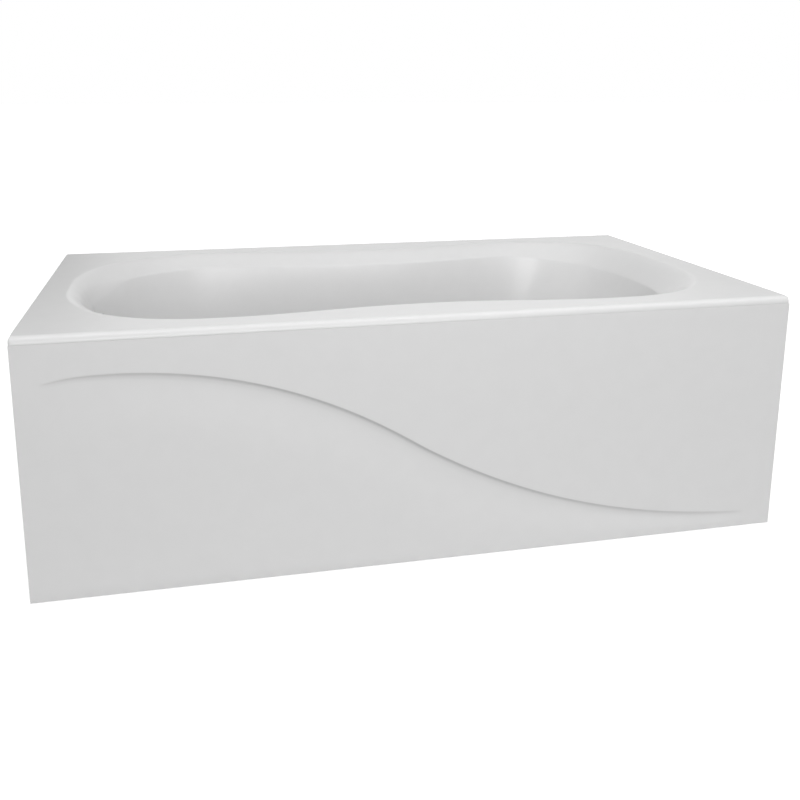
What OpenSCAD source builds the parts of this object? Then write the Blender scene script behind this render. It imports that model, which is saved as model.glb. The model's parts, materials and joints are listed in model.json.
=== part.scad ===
// Alcove bathtub with an hourglass well, a lift-off front panel, a steel cradle on
// screw feet and a cable-worked pop-up waste. Millimetres.
// The origin is the middle of the footprint on the floor: +X runs along the tub towards the
// sloping backrest, the front panel faces -Y, and +Z is up.

/* [Tub] */
// Length over the rim
tub_length = 1524; // [1480:1:1620]
// Width over the rim and the front panel
tub_width = 813; // [790:1:880]
// Height from the floor to the deck
tub_height = 508; // [485:1:560]
// Radius of the rim's corners, seen from above
rim_corner_r = 6; // [3:0.5:12]
// Radius of the rounded edge between the deck and the nosing
rim_edge_r = 9; // [6:0.5:10]
// Height of the nosing, from its lower edge to the deck
nosing_h = 11; // [10.5:0.5:16]
// Height of the lip that hangs below the nosing
lip_h = 40; // [30:1:50]
// Thickness of the acrylic shell
shell_t = 4; // [3:0.1:5]
// Thickness of the glass-fibre backing
backing_t = 3; // [2:0.1:4]
// Distance from the rim's outside to the edge of the backing under the deck
backing_inset = 14; // [14:1:20]

/* [Well] */
// Width of the deck at the drain end
deck_left = 59; // [55:1:75]
// Width of the deck at the backrest end
deck_right = 62; // [56:1:80]
// Width of the deck beside the two wide parts of the well
deck_lobe = 63.5; // [61:0.5:80]
// Width of the deck beside the waist
deck_waist = 97.5; // [90:0.5:115]
// Distance of the waist from the middle, towards the backrest
waist_x = 15; // [-20:1:50]
// Distance from the drain end to the wide part beside it
lobe_left = 377; // [360:1:390]
// Distance from the backrest end to the wide part beside it
lobe_right = 367; // [350:1:380]
// How far the wide parts of the wall sit outward of those of the deck's edge
lobe_spread = 10; // [0:1:15]
// Width of the soft lip at the drain end
lip_left = 33; // [26:1:45]
// Width of the soft lip at the backrest end
lip_right = 65; // [50:1:80]
// Width of the soft lip along the sides
lip_side = 46; // [35:1:55]
// Width of the soft lip at the waist
lip_waist = 51; // [40:1:60]
// Fall of the soft lip
lip_drop = 31; // [24:1:36]
// Fall of the soft lip at the backrest
lip_drop_right = 48; // [38:1:60]
// Length of the turn from the soft lip into the wall
lip_turn = 14; // [8:1:18]
// Inward lean of the wall at the drain end, from top to floor
lean_left = 72; // [60:1:90]
// Inward lean of the backrest, from top to floor
lean_right = 201; // [170:1:230]
// Inward lean of the side walls
lean_side = 56; // [40:1:70]
// Inward lean of the side walls at the waist
lean_waist = 40; // [30:1:50]
// How far the wide parts move towards the waist on the way down, at the backrest
lobe_shift = 70; // [40:1:90]
// Radius of the sweep from the walls into the floor
floor_sweep = 70; // [50:1:80]

/* [Front panel] */
// Thickness of the panel
panel_t = 5; // [4:0.5:6]
// Gap between the panel and the tub's nosing and lip
panel_gap = 0.3; // [0.2:0.1:0.6]
// Gap under the panel
panel_floor_gap = 1.5; // [1:0.5:6]
// Gap between the panel's rib or turned-back ends and the ends of the cross members
rib_gap = 1.5; // [1:0.5:6]
// Depth of the S line
groove_d = 2; // [1:0.5:3]
// Greatest width of the S line
groove_w = 9; // [5:0.5:14]
// Distance from the panel's left edge to the start of the S line
groove_start = 67; // [50:1:80]
// Distance from the panel's left edge to the S line's crest
groove_crest = 162; // [140:1:180]
// Height of the S line's crest above the floor
groove_crest_z = 429; // [400:1:440]
// Drop of the S line from its crest back to its start
groove_start_drop = 5; // [2:1:12]
// Height of the middle of the S line
groove_mid_z = 235; // [215:1:255]
// Distance of the middle of the S line from the panel's middle
groove_mid_x = -8; // [-40:1:40]
// Fall of the S line at its middle, per unit of length
groove_slope = 0.59; // [0.45:0.01:0.7]
// Distance from the panel's right edge to the end of the S line
groove_end = 65; // [50:1:90]
// Height of the end of the S line
groove_end_z = 34; // [28:1:60]
// Height of the panel's backing strips
strip_h = 40; // [30:1:50]
// Thickness of the panel's backing strips
strip_t = 12; // [9:1:13]
// Height of the lower strip's underside above the floor
strip_low_z = 50; // [45:1:60]

/* [Frame] */
// Side of the square steel tube of the cradle
tube = 30; // [25:1:34]
// Wall of the steel tube
tube_wall = 2; // [1.5:0.1:3]
// Distance from the floor to the underside of the cross members
foot_h = 33; // [30:1:45]
// Distance between the rails, centre to centre
rail_gap = 220; // [200:1:230]
// Distance from the drain end of the rim to the rails
rail_inset_left = 122; // [102:1:160]
// Distance from the backrest end of the rim to the rails
rail_inset_right = 292; // [242:1:307]
// Distance from the drain end of the rim to the cross member beside the drain
cross_inset_left = 462; // [432:1:482]
// Distance from the backrest end of the rim to the cross member under the backrest
cross_inset_right = 332; // [322:1:382]
// Distance from the front of the tub to the ends of the cross members
cross_inset = 21.5; // [19.5:0.5:26]
// Side of the uprights' square tube
upright = 20; // [16:1:22]
// Thickness of the uprights' end plates
plate_t = 3; // [2:0.5:4]
// Length of the uprights' end plates along the tub
plate_l = 60; // [50:1:80]
// Thickness of the base board
board_t = 12; // [9:1:18]
// Distance between the base board's edge and the edge of the well's flat floor
board_inset = 8; // [5:1:15]
// Height of the wooden battens under the deck
batten_h = 18; // [12:1:24]
// Width of the wooden battens along the front and the back
batten_w = 38; // [30:1:39]
// Width of the wooden battens across the ends
batten_end_w = 34; // [26:1:36]
// Distance from the rim's ends to the ends of the long battens
batten_end_inset = 20; // [16:1:30]
// Gap round the battens inside the lip
batten_gap = 0.3; // [0.2:0.1:1]

/* [Feet] */
// Radius of the foot screws
foot_screw_r = 6; // [5:0.5:7]
// Radial clearance of the foot screws in their bushes
foot_clear = 0.08; // [0.05:0.01:0.1]
// Length of the foot screws
foot_screw_l = 74; // [70:1:90]
// Radius of the foot pads
foot_pad_r = 25; // [20:1:30]
// Height of the foot pads
foot_pad_h = 12; // [10:1:14]
// Distance from the rails' drain end to their feet
rail_foot_inset = 20; // [18:1:30]
// Distance from the cross members' ends to their feet
cross_foot_inset = 35; // [34:1:45]

/* [Waste] */
// Distance from the drain end of the rim to the middle of the drain
drain_inset = 292; // [287:1:322]
// Radius of the hole in the floor of the well
drain_hole_r = 26; // [25:0.5:28]
// Radius of the drain's flange
drain_flange_r = 35; // [33:0.5:40]
// Height of the drain's flange above the floor of the well
drain_flange_t = 3; // [2:0.5:4]
// Outer radius of the waste pipes
pipe_r = 19.05; // [18:0.05:20]
// Wall of the waste pipes
pipe_wall = 1.5; // [1:0.1:2]
// Height of the level waste pipe's centre above the floor
pipe_z = 60; // [58:1:62]
// Distance from the drain end of the rim to the middle of the overflow pipe
stack_inset = 70; // [66:1:72]
// Height of the tailpiece's lower end above the floor
tail_z = 2; // [1:0.5:6]
// Radial clearance of a pipe in its socket
pipe_clear = 0.1; // [0.05:0.01:0.2]
// Wall of the sockets
socket_wall = 3; // [2.5:0.1:4]
// Height of the slip nuts
nut_h = 16; // [14:1:18]

/* [Pop-up] */
// Height of the overflow's centre below the deck
overflow_drop = 100; // [96:1:104]
// Radius of the overflow hole
overflow_hole_r = 26; // [24:0.5:27]
// Radius of the overflow's flange, gasket and knob
overflow_r = 36; // [34:0.5:38]
// Depth of the overflow body behind the wall
overflow_depth = 30; // [28:1:34]
// Gap between the knob and the overflow flange
knob_gap = 5; // [4:0.5:8]
// Depth of the knob
knob_h = 14; // [10:0.5:18]
// Radius of the knob's spindle
spindle_r = 4; // [3:0.5:5]
// Radial clearance of spindle, plug pin and lever
run_clear = 0.06; // [0.03:0.01:0.1]
// Radius of the plug
plug_r = 29; // [28:0.5:31]
// Radius of the plug's pin
pin_r = 3; // [2.5:0.5:4]
// Lift of the plug
plug_lift = 10; // [8:0.5:11]
// Length of the lift lever, from its axle to its tip
lever_l = 20; // [18:0.5:21]
// Radius of the lever's axle
axle_r = 2; // [1.5:0.5:2.5]
// Radius of the cable's sheath
cable_r = 3; // [2.5:0.5:3.5]

/* [Wall hooks] */
// Distance between the wall hooks
hook_gap = 900; // [700:10:1100]
// Width of a wall hook
hook_w = 40; // [30:1:60]
// Thickness of a wall hook
hook_t = 3; // [2:0.1:3.4]
// Radius of the hooks' screw holes
hook_hole_r = 2.75; // [2:0.25:3.5]
// Distance between the two screw holes of a hook
hook_hole_gap = 25; // [20:1:30]

/* [Hidden] */
$fn = 64;
eps = 0.01;
half_l = tub_length / 2;
half_w = tub_width / 2;
setback = panel_t + panel_gap;
nosing_z = tub_height - nosing_h;
lip_z = nosing_z - lip_h;
deck_under_z = tub_height - shell_t;
batten_top_z = deck_under_z - backing_t;
batten_z = batten_top_z - batten_h;
lip_inside = setback + shell_t;
cross_z = foot_h;
rail_z = cross_z + tube;
board_z = rail_z + tube;
floor_z = board_z + board_t + backing_t + shell_t;
wall_t = shell_t + backing_t;
cross_length = tub_width - 2 * cross_inset;
panel_return = cross_inset - rib_gap;
stack_x = -half_l + stack_inset;
drain_x = -half_l + drain_inset;
rail_left = -half_l + rail_inset_left;
rail_right = half_l - rail_inset_right;
cross_left = -half_l + cross_inset_left;
cross_right = half_l - cross_inset_right;

// Loops of the well: steps round a quarter end and along the waist
arc_steps = 12;
waist_steps = 10;
side_steps = 3;
corner_steps = 4;
loop_n = 2 * (2 * arc_steps + waist_steps - 1);

// ---- Loops: each is one ring of points, from the backrest end round by the back ----

function ring(half, z) = concat(
    [for (p = half) [p.x, p.y, z]],
    [for (i = [len(half) - 1:-1:0]) [half[i].x, -half[i].y, z]]
);

// Half of the hourglass: two super-elliptic ends and a cosine waist between them
function hourglass(left, right, lobe, waist, lobe_l, lobe_r, shape) = concat(
    [for (k = [1:arc_steps]) let (a = 90 * k / arc_steps)
        [lobe_r + (right - lobe_r) * pow(cos(a), 2 / shape[1]), lobe * pow(sin(a), 2 / shape[1])]],
    [for (k = [1:waist_steps - 1])
        let (x = lobe_r + (lobe_l - lobe_r) * k / waist_steps,
             c = x > waist_x ? (x - waist_x) / (lobe_r - waist_x) : (waist_x - x) / (waist_x - lobe_l))
        [x, waist + (lobe - waist) * pow((1 - cos(180 * c)) / 2, shape[2])]],
    [for (k = [arc_steps:-1:1]) let (a = 90 * k / arc_steps)
        [lobe_l + (left - lobe_l) * pow(cos(a), 2 / shape[0]), lobe * pow(sin(a), 2 / shape[0])]]
);

// Half of a round-cornered rectangle with its points opposite those of the hourglass. Inside the
// corner's own radius its corners keep a small one
rim_corner_least = 1;
function rim_half(inset) =
    let (hx = half_l - inset, hy = half_w - inset, r = max(rim_corner_r - inset, rim_corner_least),
         xr = half_l - lobe_right, xl = -half_l + lobe_left,
         back_steps = arc_steps - side_steps - corner_steps)
    concat(
        [for (k = [1:side_steps]) [hx, (hy - r) * k / side_steps]],
        [for (k = [1:corner_steps]) let (a = 90 * k / corner_steps)
            [hx - r + r * cos(a), hy - r + r * sin(a)]],
        [for (k = [1:back_steps]) [hx - r + (xr - hx + r) * k / back_steps, hy]],
        [for (k = [1:waist_steps - 1]) [xr + (xl - xr) * k / waist_steps, hy]],
        [for (k = [back_steps:-1:1]) [-(hx - r) + (xl + hx - r) * k / back_steps, hy]],
        [for (k = [corner_steps:-1:1]) let (a = 90 * k / corner_steps)
            [-(hx - r + r * cos(a)), hy - r + r * sin(a)]],
        [for (k = [side_steps:-1:1]) [-hx, (hy - r) * k / side_steps]]
    );

function rim_ring(inset, z) = ring(rim_half(inset), z);

// How square each loop is at the drain end and at the backrest, and how sharp at the waist
deck_shape = [2.45, 2.7, 1.15];
wall_shape = [2, 2.4, 1.5];
floor_shape = [2.4, 2.3, 1.5];
deck_half = hourglass(-half_l + deck_left, half_l - deck_right, half_w - deck_lobe, half_w - deck_waist,
                      -half_l + lobe_left, half_l - lobe_right, deck_shape);
wall_half = hourglass(-half_l + deck_left + lip_left, half_l - deck_right - lip_right,
                      half_w - deck_lobe - lip_side, half_w - deck_waist - lip_waist,
                      -half_l + lobe_left - lobe_spread, half_l - lobe_right + lobe_spread, wall_shape);

// The outline where the walls would meet the floor without a sweep, and the flat floor inside it
function floor_half(sweep) = hourglass(
    -half_l + deck_left + lip_left + lean_left + sweep,
    half_l - deck_right - lip_right - lean_right - sweep,
    half_w - deck_lobe - lip_side - lean_side - sweep,
    half_w - deck_waist - lip_waist - lean_waist - sweep,
    -half_l + lobe_left, half_l - lobe_right - lobe_shift, floor_shape);
function ease(t) = let (c = min(1, max(0, t))) c * c * (3 - 2 * c);
function lip_fall(x) = lip_drop + (lip_drop_right - lip_drop)
    * ease((x - (half_l - lobe_right)) / (lobe_right - deck_right - lip_right));
function between(a, b, t) = a + (b - a) * t;
function bow(a, b, c, t) = (1 - t) * (1 - t) * a + 2 * t * (1 - t) * b + t * t * c;

deck_ring = ring(deck_half, tub_height);
corner_ring = ring(floor_half(0), floor_z);
flat_ring = ring(floor_half(floor_sweep), floor_z);
wall_flat = ring(wall_half, 0);
wall_ring = [for (p = wall_flat) [p.x, p.y, tub_height - lip_fall(p.x)]];
// The lip leaves the deck level: where its curve is drawn towards, and how much of the curve is used
lip_pull = 0.35;
lip_end = 0.82;
lip_control = [for (j = [0:loop_n - 1]) let (m = between(deck_ring[j], wall_ring[j], lip_pull))
    [m.x, m.y, tub_height]];

function roll_ring(t) = [for (j = [0:loop_n - 1]) bow(deck_ring[j], lip_control[j], wall_ring[j], t)];
roll_last = roll_ring(lip_end);
function down_wall(j, d) = let (v = corner_ring[j] - wall_ring[j]) wall_ring[j] + v * d / norm(v);
function turn_ring(t) = [for (j = [0:loop_n - 1])
    bow(roll_last[j], wall_ring[j], down_wall(j, lip_turn), t)];
sweep_top = [for (j = [0:loop_n - 1]) let (v = corner_ring[j] - wall_ring[j])
    corner_ring[j] - v * floor_sweep / norm(v)];
function wall_at(t) = [for (j = [0:loop_n - 1]) between(down_wall(j, lip_turn), sweep_top[j], t)];
function sweep_ring(t) = [for (j = [0:loop_n - 1]) bow(sweep_top[j], corner_ring[j], flat_ring[j], t)];

// The well's surface as rings, from the edge of the deck down to the flat floor
well = concat(
    [deck_ring],
    [for (t = [0.25, 0.5, 0.7]) roll_ring(t)],
    [for (t = [0, 0.35, 0.7, 1]) turn_ring(t)],
    [for (t = [0.5, 1]) wall_at(t)],
    [for (t = [0.25, 0.5, 0.75, 1]) sweep_ring(t)]
);
well_last = len(well) - 1;

function unit(v) = v / norm(v);
function well_normal(k, j) = k == 0 || k == well_last ? [0, 0, 1]
    : unit(cross(well[k][(j + 1) % loop_n] - well[k][(j + loop_n - 1) % loop_n],
                 well[k + 1][j] - well[k - 1][j]));
normals = [for (k = [0:well_last]) [for (j = [0:loop_n - 1]) well_normal(k, j)]];
// The same surface a given thickness further back
function well_behind(t) = [for (k = [0:well_last])
    [for (j = [0:loop_n - 1]) well[k][j] - t * normals[k][j]]];
function reversed(list) = [for (i = [len(list) - 1:-1:0]) list[i]];

// The two triangles between four neighbouring points, split along the shorter diagonal, so that
// two solids that share a surface split it alike
function two_triangles(p, a, b, n) =
    norm(p[a] - p[b + n]) < norm(p[b] - p[a + n])
        ? [[a, b, b + n], [a, b + n, a + n]]
        : [[a, b, a + n], [b, b + n, a + n]];
// A closed solid from a stack of rings, with a flat cap on its first and last
module ring_stack(rings) {
    n = len(rings[0]);
    m = len(rings);
    points = [for (r = rings) each r];
    polyhedron(
        points = points,
        faces = concat(
            [[for (j = [n - 1:-1:0]) j]],
            [for (i = [0:m - 2]) for (j = [0:n - 1])
                each two_triangles(points, i * n + j, i * n + (j + 1) % n, n)],
            [[for (j = [0:n - 1]) (m - 1) * n + j]]
        )
    );
}

// ---- The overflow's seat on the end wall ----

// The wall is flat across the end of the well, between the outline's last point and its mirror
seat_top = wall_ring[len(wall_half) - 1];
seat_low = corner_ring[len(wall_half) - 1];
overflow_z = tub_height - overflow_drop;
seat_angle = atan((seat_low.x - seat_top.x) / (seat_top.z - seat_low.z));
seat_x = seat_top.x + (seat_top.z - overflow_z) * tan(seat_angle);

// Local +Z leads out of the end wall into the well, and local +X leads down it
module at_overflow() {
    translate([seat_x, 0, overflow_z]) rotate([0, 90 - seat_angle, 0]) children();
}

// ---- Shared small shapes ----

module tube_x(x0, x1, y, z, side) {
    translate([x0, y - side / 2, z]) difference() {
        cube([x1 - x0, side, side]);
        translate([-1, tube_wall, tube_wall])
            cube([x1 - x0 + 2, side - 2 * tube_wall, side - 2 * tube_wall]);
    }
}

module tube_y(x, y0, y1, z, side) {
    translate([x - side / 2, y0, z]) difference() {
        cube([side, y1 - y0, side]);
        translate([tube_wall, -1, tube_wall])
            cube([side - 2 * tube_wall, y1 - y0 + 2, side - 2 * tube_wall]);
    }
}

module ring_solid(outer, inner, h) {
    difference() {
        cylinder(r = outer, h = h);
        translate([0, 0, -1]) cylinder(r = inner, h = h + 2);
    }
}

module pipe_up(x, z0, z1) {
    translate([x, 0, z0]) ring_solid(pipe_r, pipe_r - pipe_wall, z1 - z0);
}

// A screw standing on its head: the head's underside is at z = 0 and its shank points up
module screw_up(r, l) {
    translate([0, 0, -screw_head_h]) cylinder(r = 2 * r, h = screw_head_h, $fn = 6);
    translate([0, 0, -eps]) cylinder(r = r, h = l + eps);
}

screw_r = 3;
screw_head_h = 4;
screw_hole_r = screw_r + 0.1;
batten_screw_in = 10;
board_screw_in = 8;

// ---- Tub ----

edge_steps = 4;
module tub_shell() {
    edge = [for (i = [edge_steps:-1:0]) let (a = 90 * i / edge_steps)
        rim_ring(rim_edge_r * (1 - cos(a)), tub_height - rim_edge_r + rim_edge_r * sin(a))];
    color([0.95, 0.95, 0.95]) difference() {
        ring_stack(concat(
            reversed(well),
            edge,
            [rim_ring(0, nosing_z), rim_ring(setback, nosing_z), rim_ring(setback, lip_z),
             rim_ring(lip_inside, lip_z), rim_ring(lip_inside, deck_under_z)],
            well_behind(shell_t)
        ));
        drain_hole();
        overflow_hole();
    }
}

module drain_hole() {
    translate([drain_x, 0, floor_z - wall_t - 1]) cylinder(r = drain_hole_r, h = wall_t + 2);
}

module overflow_hole() {
    at_overflow() translate([0, 0, -wall_t - 2]) cylinder(r = overflow_hole_r, h = wall_t + 4);
}

module grp_backing() {
    color([0.78, 0.75, 0.62]) difference() {
        ring_stack(concat(
            reversed(well_behind(shell_t)),
            [rim_ring(backing_inset, deck_under_z), rim_ring(backing_inset, batten_top_z)],
            well_behind(wall_t)
        ));
        drain_hole();
        overflow_hole();
    }
}

board_hole_gap = 4;
module base_board() {
    outline = floor_half(floor_sweep + board_inset);
    points = concat(outline, [for (i = [len(outline) - 1:-1:0]) [outline[i].x, -outline[i].y]]);
    color([0.8, 0.65, 0.45]) difference() {
        translate([0, 0, board_z]) linear_extrude(board_t) polygon(points);
        translate([drain_x, 0, board_z - 1]) cylinder(r = body_flange_r + board_hole_gap, h = board_t + 2);
        for (p = board_screw_places)
            translate([p.x, p.y, board_z - 1]) cylinder(r = screw_hole_r, h = board_screw_in + 2);
    }
}

batten_edge = lip_inside + batten_gap;
module long_batten(side) {
    x1 = half_l - batten_end_inset;
    x0 = -x1;
    y_out = half_w - batten_edge;
    y0 = side > 0 ? y_out - batten_w : -y_out;
    color([0.72, 0.55, 0.36]) difference() {
        translate([x0, y0, batten_z]) cube([x1 - x0, batten_w, batten_h]);
        for (x = [cross_left, cross_right]) for (s = [-1, 1])
            translate([x + s * plate_screw_x, side * upright_y, batten_z - 1])
                cylinder(r = screw_hole_r, h = batten_screw_in + 2);
    }
}
module end_batten(side) {
    x0 = side > 0 ? half_l - batten_edge - batten_end_w : -half_l + batten_edge;
    y1 = half_w - batten_edge - batten_w - batten_gap;
    color([0.72, 0.55, 0.36]) translate([x0, -y1, batten_z]) cube([batten_end_w, 2 * y1, batten_h]);
}
module rim_batten_front() { long_batten(-1); }
module rim_batten_back() { long_batten(1); }
module rim_batten_left() { end_batten(-1); }
module rim_batten_right() { end_batten(1); }

// ---- Cradle ----

steel = [0.62, 0.64, 0.66];
rail_y = rail_gap / 2;
rail_foot_x = rail_left + rail_foot_inset;
cross_foot_y = cross_length / 2 - cross_foot_inset;
upright_y = cross_length / 2 - upright / 2;
plate_screw_edge = 9;
plate_screw_x = plate_l / 2 - plate_screw_edge;
bush_wall = 4;
bush_r = foot_screw_r + bush_wall;
bush_flange_t = 3;
bush_flange_w = 3;
bush_fit = 0.05;
board_screw_left = drain_x + 70;
board_screw_right = rail_right - 190;
board_screw_middle = (board_screw_left + board_screw_right) / 2;
board_screw_places = [for (x = [board_screw_left, board_screw_middle, board_screw_right])
    for (s = [-1, 1]) [x, s * rail_y]];
foot_places = [
    ["rail_front", [rail_foot_x, -rail_y], rail_z],
    ["rail_back", [rail_foot_x, rail_y], rail_z],
    ["left_front", [cross_left, -cross_foot_y], cross_z],
    ["left_back", [cross_left, cross_foot_y], cross_z],
    ["right_front", [cross_right, -cross_foot_y], cross_z],
    ["right_back", [cross_right, cross_foot_y], cross_z]
];

module frame_rail(side) {
    y = side * rail_y;
    color(steel) difference() {
        tube_x(rail_left, rail_right, y, rail_z, tube);
        translate([rail_foot_x, y, rail_z - 1]) cylinder(r = bush_r + bush_fit, h = tube + 2);
        for (p = board_screw_places) if (p.y == y)
            translate([p.x, y, rail_z - 1]) cylinder(r = screw_hole_r, h = tube + 2);
        for (x = [cross_left, cross_right])
            translate([x, y, rail_z - 1]) cylinder(r = screw_hole_r, h = tube_wall + 2);
    }
}
module frame_rail_front() { frame_rail(-1); }
module frame_rail_back() { frame_rail(1); }

module cross_member(x) {
    color(steel) difference() {
        tube_y(x, -cross_length / 2, cross_length / 2, cross_z, tube);
        for (s = [-1, 1]) {
            translate([x, s * cross_foot_y, cross_z - 1]) cylinder(r = bush_r + bush_fit, h = tube + 2);
            translate([x, s * rail_y, cross_z - 1]) cylinder(r = screw_hole_r, h = tube + 2);
        }
    }
}
module cross_member_left() { cross_member(cross_left); }
module cross_member_right() { cross_member(cross_right); }

// A square tube between two end plates: the upper one is screwed under the batten
module rim_upright(x, side) {
    y = side * upright_y;
    z0 = cross_z + tube;
    z1 = batten_z;
    color(steel) difference() {
        union() {
            translate([x - tube / 2, y - upright / 2, z0]) cube([tube, upright, plate_t]);
            translate([x - upright / 2, y - upright / 2, z0]) difference() {
                cube([upright, upright, z1 - z0]);
                translate([tube_wall, tube_wall, plate_t])
                    cube([upright - 2 * tube_wall, upright - 2 * tube_wall, z1 - z0 - 2 * plate_t]);
            }
            translate([x - plate_l / 2, y - upright / 2, z1 - plate_t]) cube([plate_l, upright, plate_t]);
        }
        for (s = [-1, 1])
            translate([x + s * plate_screw_x, y, z1 - plate_t - 1])
                cylinder(r = screw_hole_r, h = plate_t + 2);
    }
}
module upright_front_left() { rim_upright(cross_left, -1); }
module upright_front_right() { rim_upright(cross_right, -1); }
module upright_back_left() { rim_upright(cross_left, 1); }
module upright_back_right() { rim_upright(cross_right, 1); }

// Screws up through the cross members into the rails, and through the upright plates into the battens
module frame_screws() {
    color([0.5, 0.5, 0.5]) {
        for (x = [cross_left, cross_right]) for (s = [-1, 1]) {
            translate([x, s * rail_y, cross_z]) screw_up(screw_r, tube + tube_wall + 3);
            for (e = [-1, 1]) translate([x + e * plate_screw_x, s * upright_y, batten_z - plate_t])
                screw_up(screw_r, plate_t + batten_screw_in);
        }
    }
}
module board_screws() {
    color([0.5, 0.5, 0.5])
        for (p = board_screw_places) translate([p.x, p.y, rail_z]) screw_up(screw_r, tube + board_screw_in);
}

// ---- Feet ----

module foot_bushes() {
    color([0.25, 0.25, 0.26])
        for (f = foot_places) translate([f[1].x, f[1].y, f[2]]) difference() {
            union() {
                cylinder(r = bush_r, h = tube);
                translate([0, 0, tube]) cylinder(r = bush_r + bush_flange_w, h = bush_flange_t);
            }
            translate([0, 0, -1]) cylinder(r = foot_screw_r + foot_clear, h = tube + bush_flange_t + 2);
        }
}
lock_nut_h = 8;
lock_nut_r = 1.8 * foot_screw_r;
module lock_nuts() {
    color([0.7, 0.7, 0.7])
        for (f = foot_places) translate([f[1].x, f[1].y, f[2] - lock_nut_h]) difference() {
            cylinder(r = lock_nut_r, h = lock_nut_h, $fn = 6);
            translate([0, 0, -1]) cylinder(r = foot_screw_r + foot_clear, h = lock_nut_h + 2);
        }
}
foot_socket = 6;
foot_neck_w = 6;
module foot_screw(i) {
    f = foot_places[i];
    lift = f[2] - cross_z;
    color([0.7, 0.7, 0.7])
        translate([f[1].x, f[1].y, foot_pad_h - foot_socket])
            cylinder(r = foot_screw_r, h = foot_screw_l + lift);
}
module foot_pad(i) {
    f = foot_places[i];
    color([0.15, 0.15, 0.16]) translate([f[1].x, f[1].y, 0]) difference() {
        union() {
            cylinder(r = foot_pad_r, h = foot_pad_h / 2);
            translate([0, 0, foot_pad_h / 2])
                cylinder(r1 = foot_pad_r, r2 = foot_screw_r + foot_neck_w, h = foot_pad_h / 2);
        }
        translate([0, 0, foot_pad_h - foot_socket])
            cylinder(r = foot_screw_r + bush_fit, h = foot_socket + 1);
    }
}
module foot_screw_rail_front() { foot_screw(0); }
module foot_screw_rail_back() { foot_screw(1); }
module foot_screw_left_front() { foot_screw(2); }
module foot_screw_left_back() { foot_screw(3); }
module foot_screw_right_front() { foot_screw(4); }
module foot_screw_right_back() { foot_screw(5); }
module foot_pad_rail_front() { foot_pad(0); }
module foot_pad_rail_back() { foot_pad(1); }
module foot_pad_left_front() { foot_pad(2); }
module foot_pad_left_back() { foot_pad(3); }
module foot_pad_right_front() { foot_pad(4); }
module foot_pad_right_back() { foot_pad(5); }

// ---- Wall hooks ----

// A flat plate on the wall with a tongue that reaches under the back lip and up inside it
hook_lip_gap = 0.2;
hook_side_gap = 1;
hook_up = 20;
hook_screw_drop = 15;
hook_hole_z = [lip_z - hook_screw_drop, lip_z - hook_screw_drop - hook_hole_gap];
module wall_hook(x) {
    tongue_y = half_w - lip_inside - hook_t - hook_side_gap;
    tongue_z = lip_z - hook_t - hook_lip_gap;
    plate_low = hook_hole_z[1] - hook_screw_drop;
    color(steel) difference() {
        translate([x - hook_w / 2, 0, 0]) union() {
            translate([0, half_w - hook_t, plate_low]) cube([hook_w, hook_t, lip_z + hook_up - plate_low]);
            translate([0, tongue_y, tongue_z]) cube([hook_w, half_w - tongue_y, hook_t]);
            translate([0, tongue_y, tongue_z]) cube([hook_w, hook_t, hook_up]);
        }
        for (z = hook_hole_z) translate([x, half_w + 1, z]) rotate([90, 0, 0])
            cylinder(r = hook_hole_r, h = hook_t + 2);
    }
}
module wall_hook_left() { wall_hook(-hook_gap / 2); }
module wall_hook_right() { wall_hook(hook_gap / 2); }

// ---- Front panel ----

panel_front_y = -half_w;
panel_back_y = panel_front_y + panel_t;
panel_top_z = nosing_z - panel_gap;
bracket_z = cross_z + plate_t;
rib_rest_gap = 0.2;
rib_z = bracket_z + rib_rest_gap;
return_lip_gap = 5;
strip_lip_gap = 15;
strip_end_gap = 20;
strip_high_z = lip_z - strip_lip_gap - strip_h;

function cubic(a, b, c, d, t) =
    pow(1 - t, 3) * a + 3 * t * pow(1 - t, 2) * b + 3 * t * t * (1 - t) * c + pow(t, 3) * d;
s_start = [-half_l + groove_start, groove_crest_z - groove_start_drop];
s_crest = [-half_l + groove_crest, groove_crest_z];
s_mid = [groove_mid_x, groove_mid_z];
s_end = [half_l - groove_end, groove_end_z];
s_fall = [1, -groove_slope];
// Each of the S line's three lengths runs from one of these points to the next: it leaves the
// first point by the first handle and comes to the last point by the second. The handles are
// shares of the distance between the points
s_steps = 14;
s_down = s_mid.x - s_crest.x;
s_out = s_end.x - s_mid.x;
s_lengths = [
    [s_start, 0.47 * [s_crest.x - s_start.x, 6], [-0.47 * (s_crest.x - s_start.x), 0], s_crest, 4],
    [s_crest, [0.5485 * s_down, 0], -0.1013 * s_down * s_fall, s_mid, s_steps],
    [s_mid, 0.3177 * s_out * s_fall, [-0.3631 * s_out, 10], s_end, s_steps]
];
s_line = concat(
    [for (c = s_lengths) for (i = [0:c[4] - 1]) cubic(c[0], c[0] + c[1], c[3] + c[2], c[3], i / c[4])],
    [s_end]
);
// The line is sharp on its upper side, and its lower side swells towards the middle
module s_groove() {
    last = len(s_line) - 1;
    lower = [for (i = [last - 1:-1:1]) let (v = unit(s_line[i + 1] - s_line[i - 1]))
        s_line[i] + [v.y, -v.x] * groove_w * sqrt(sin(180 * i / last))];
    translate([0, panel_front_y + groove_d, 0]) rotate([90, 0, 0])
        linear_extrude(groove_d + 1) polygon(concat(s_line, lower));
}

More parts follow.
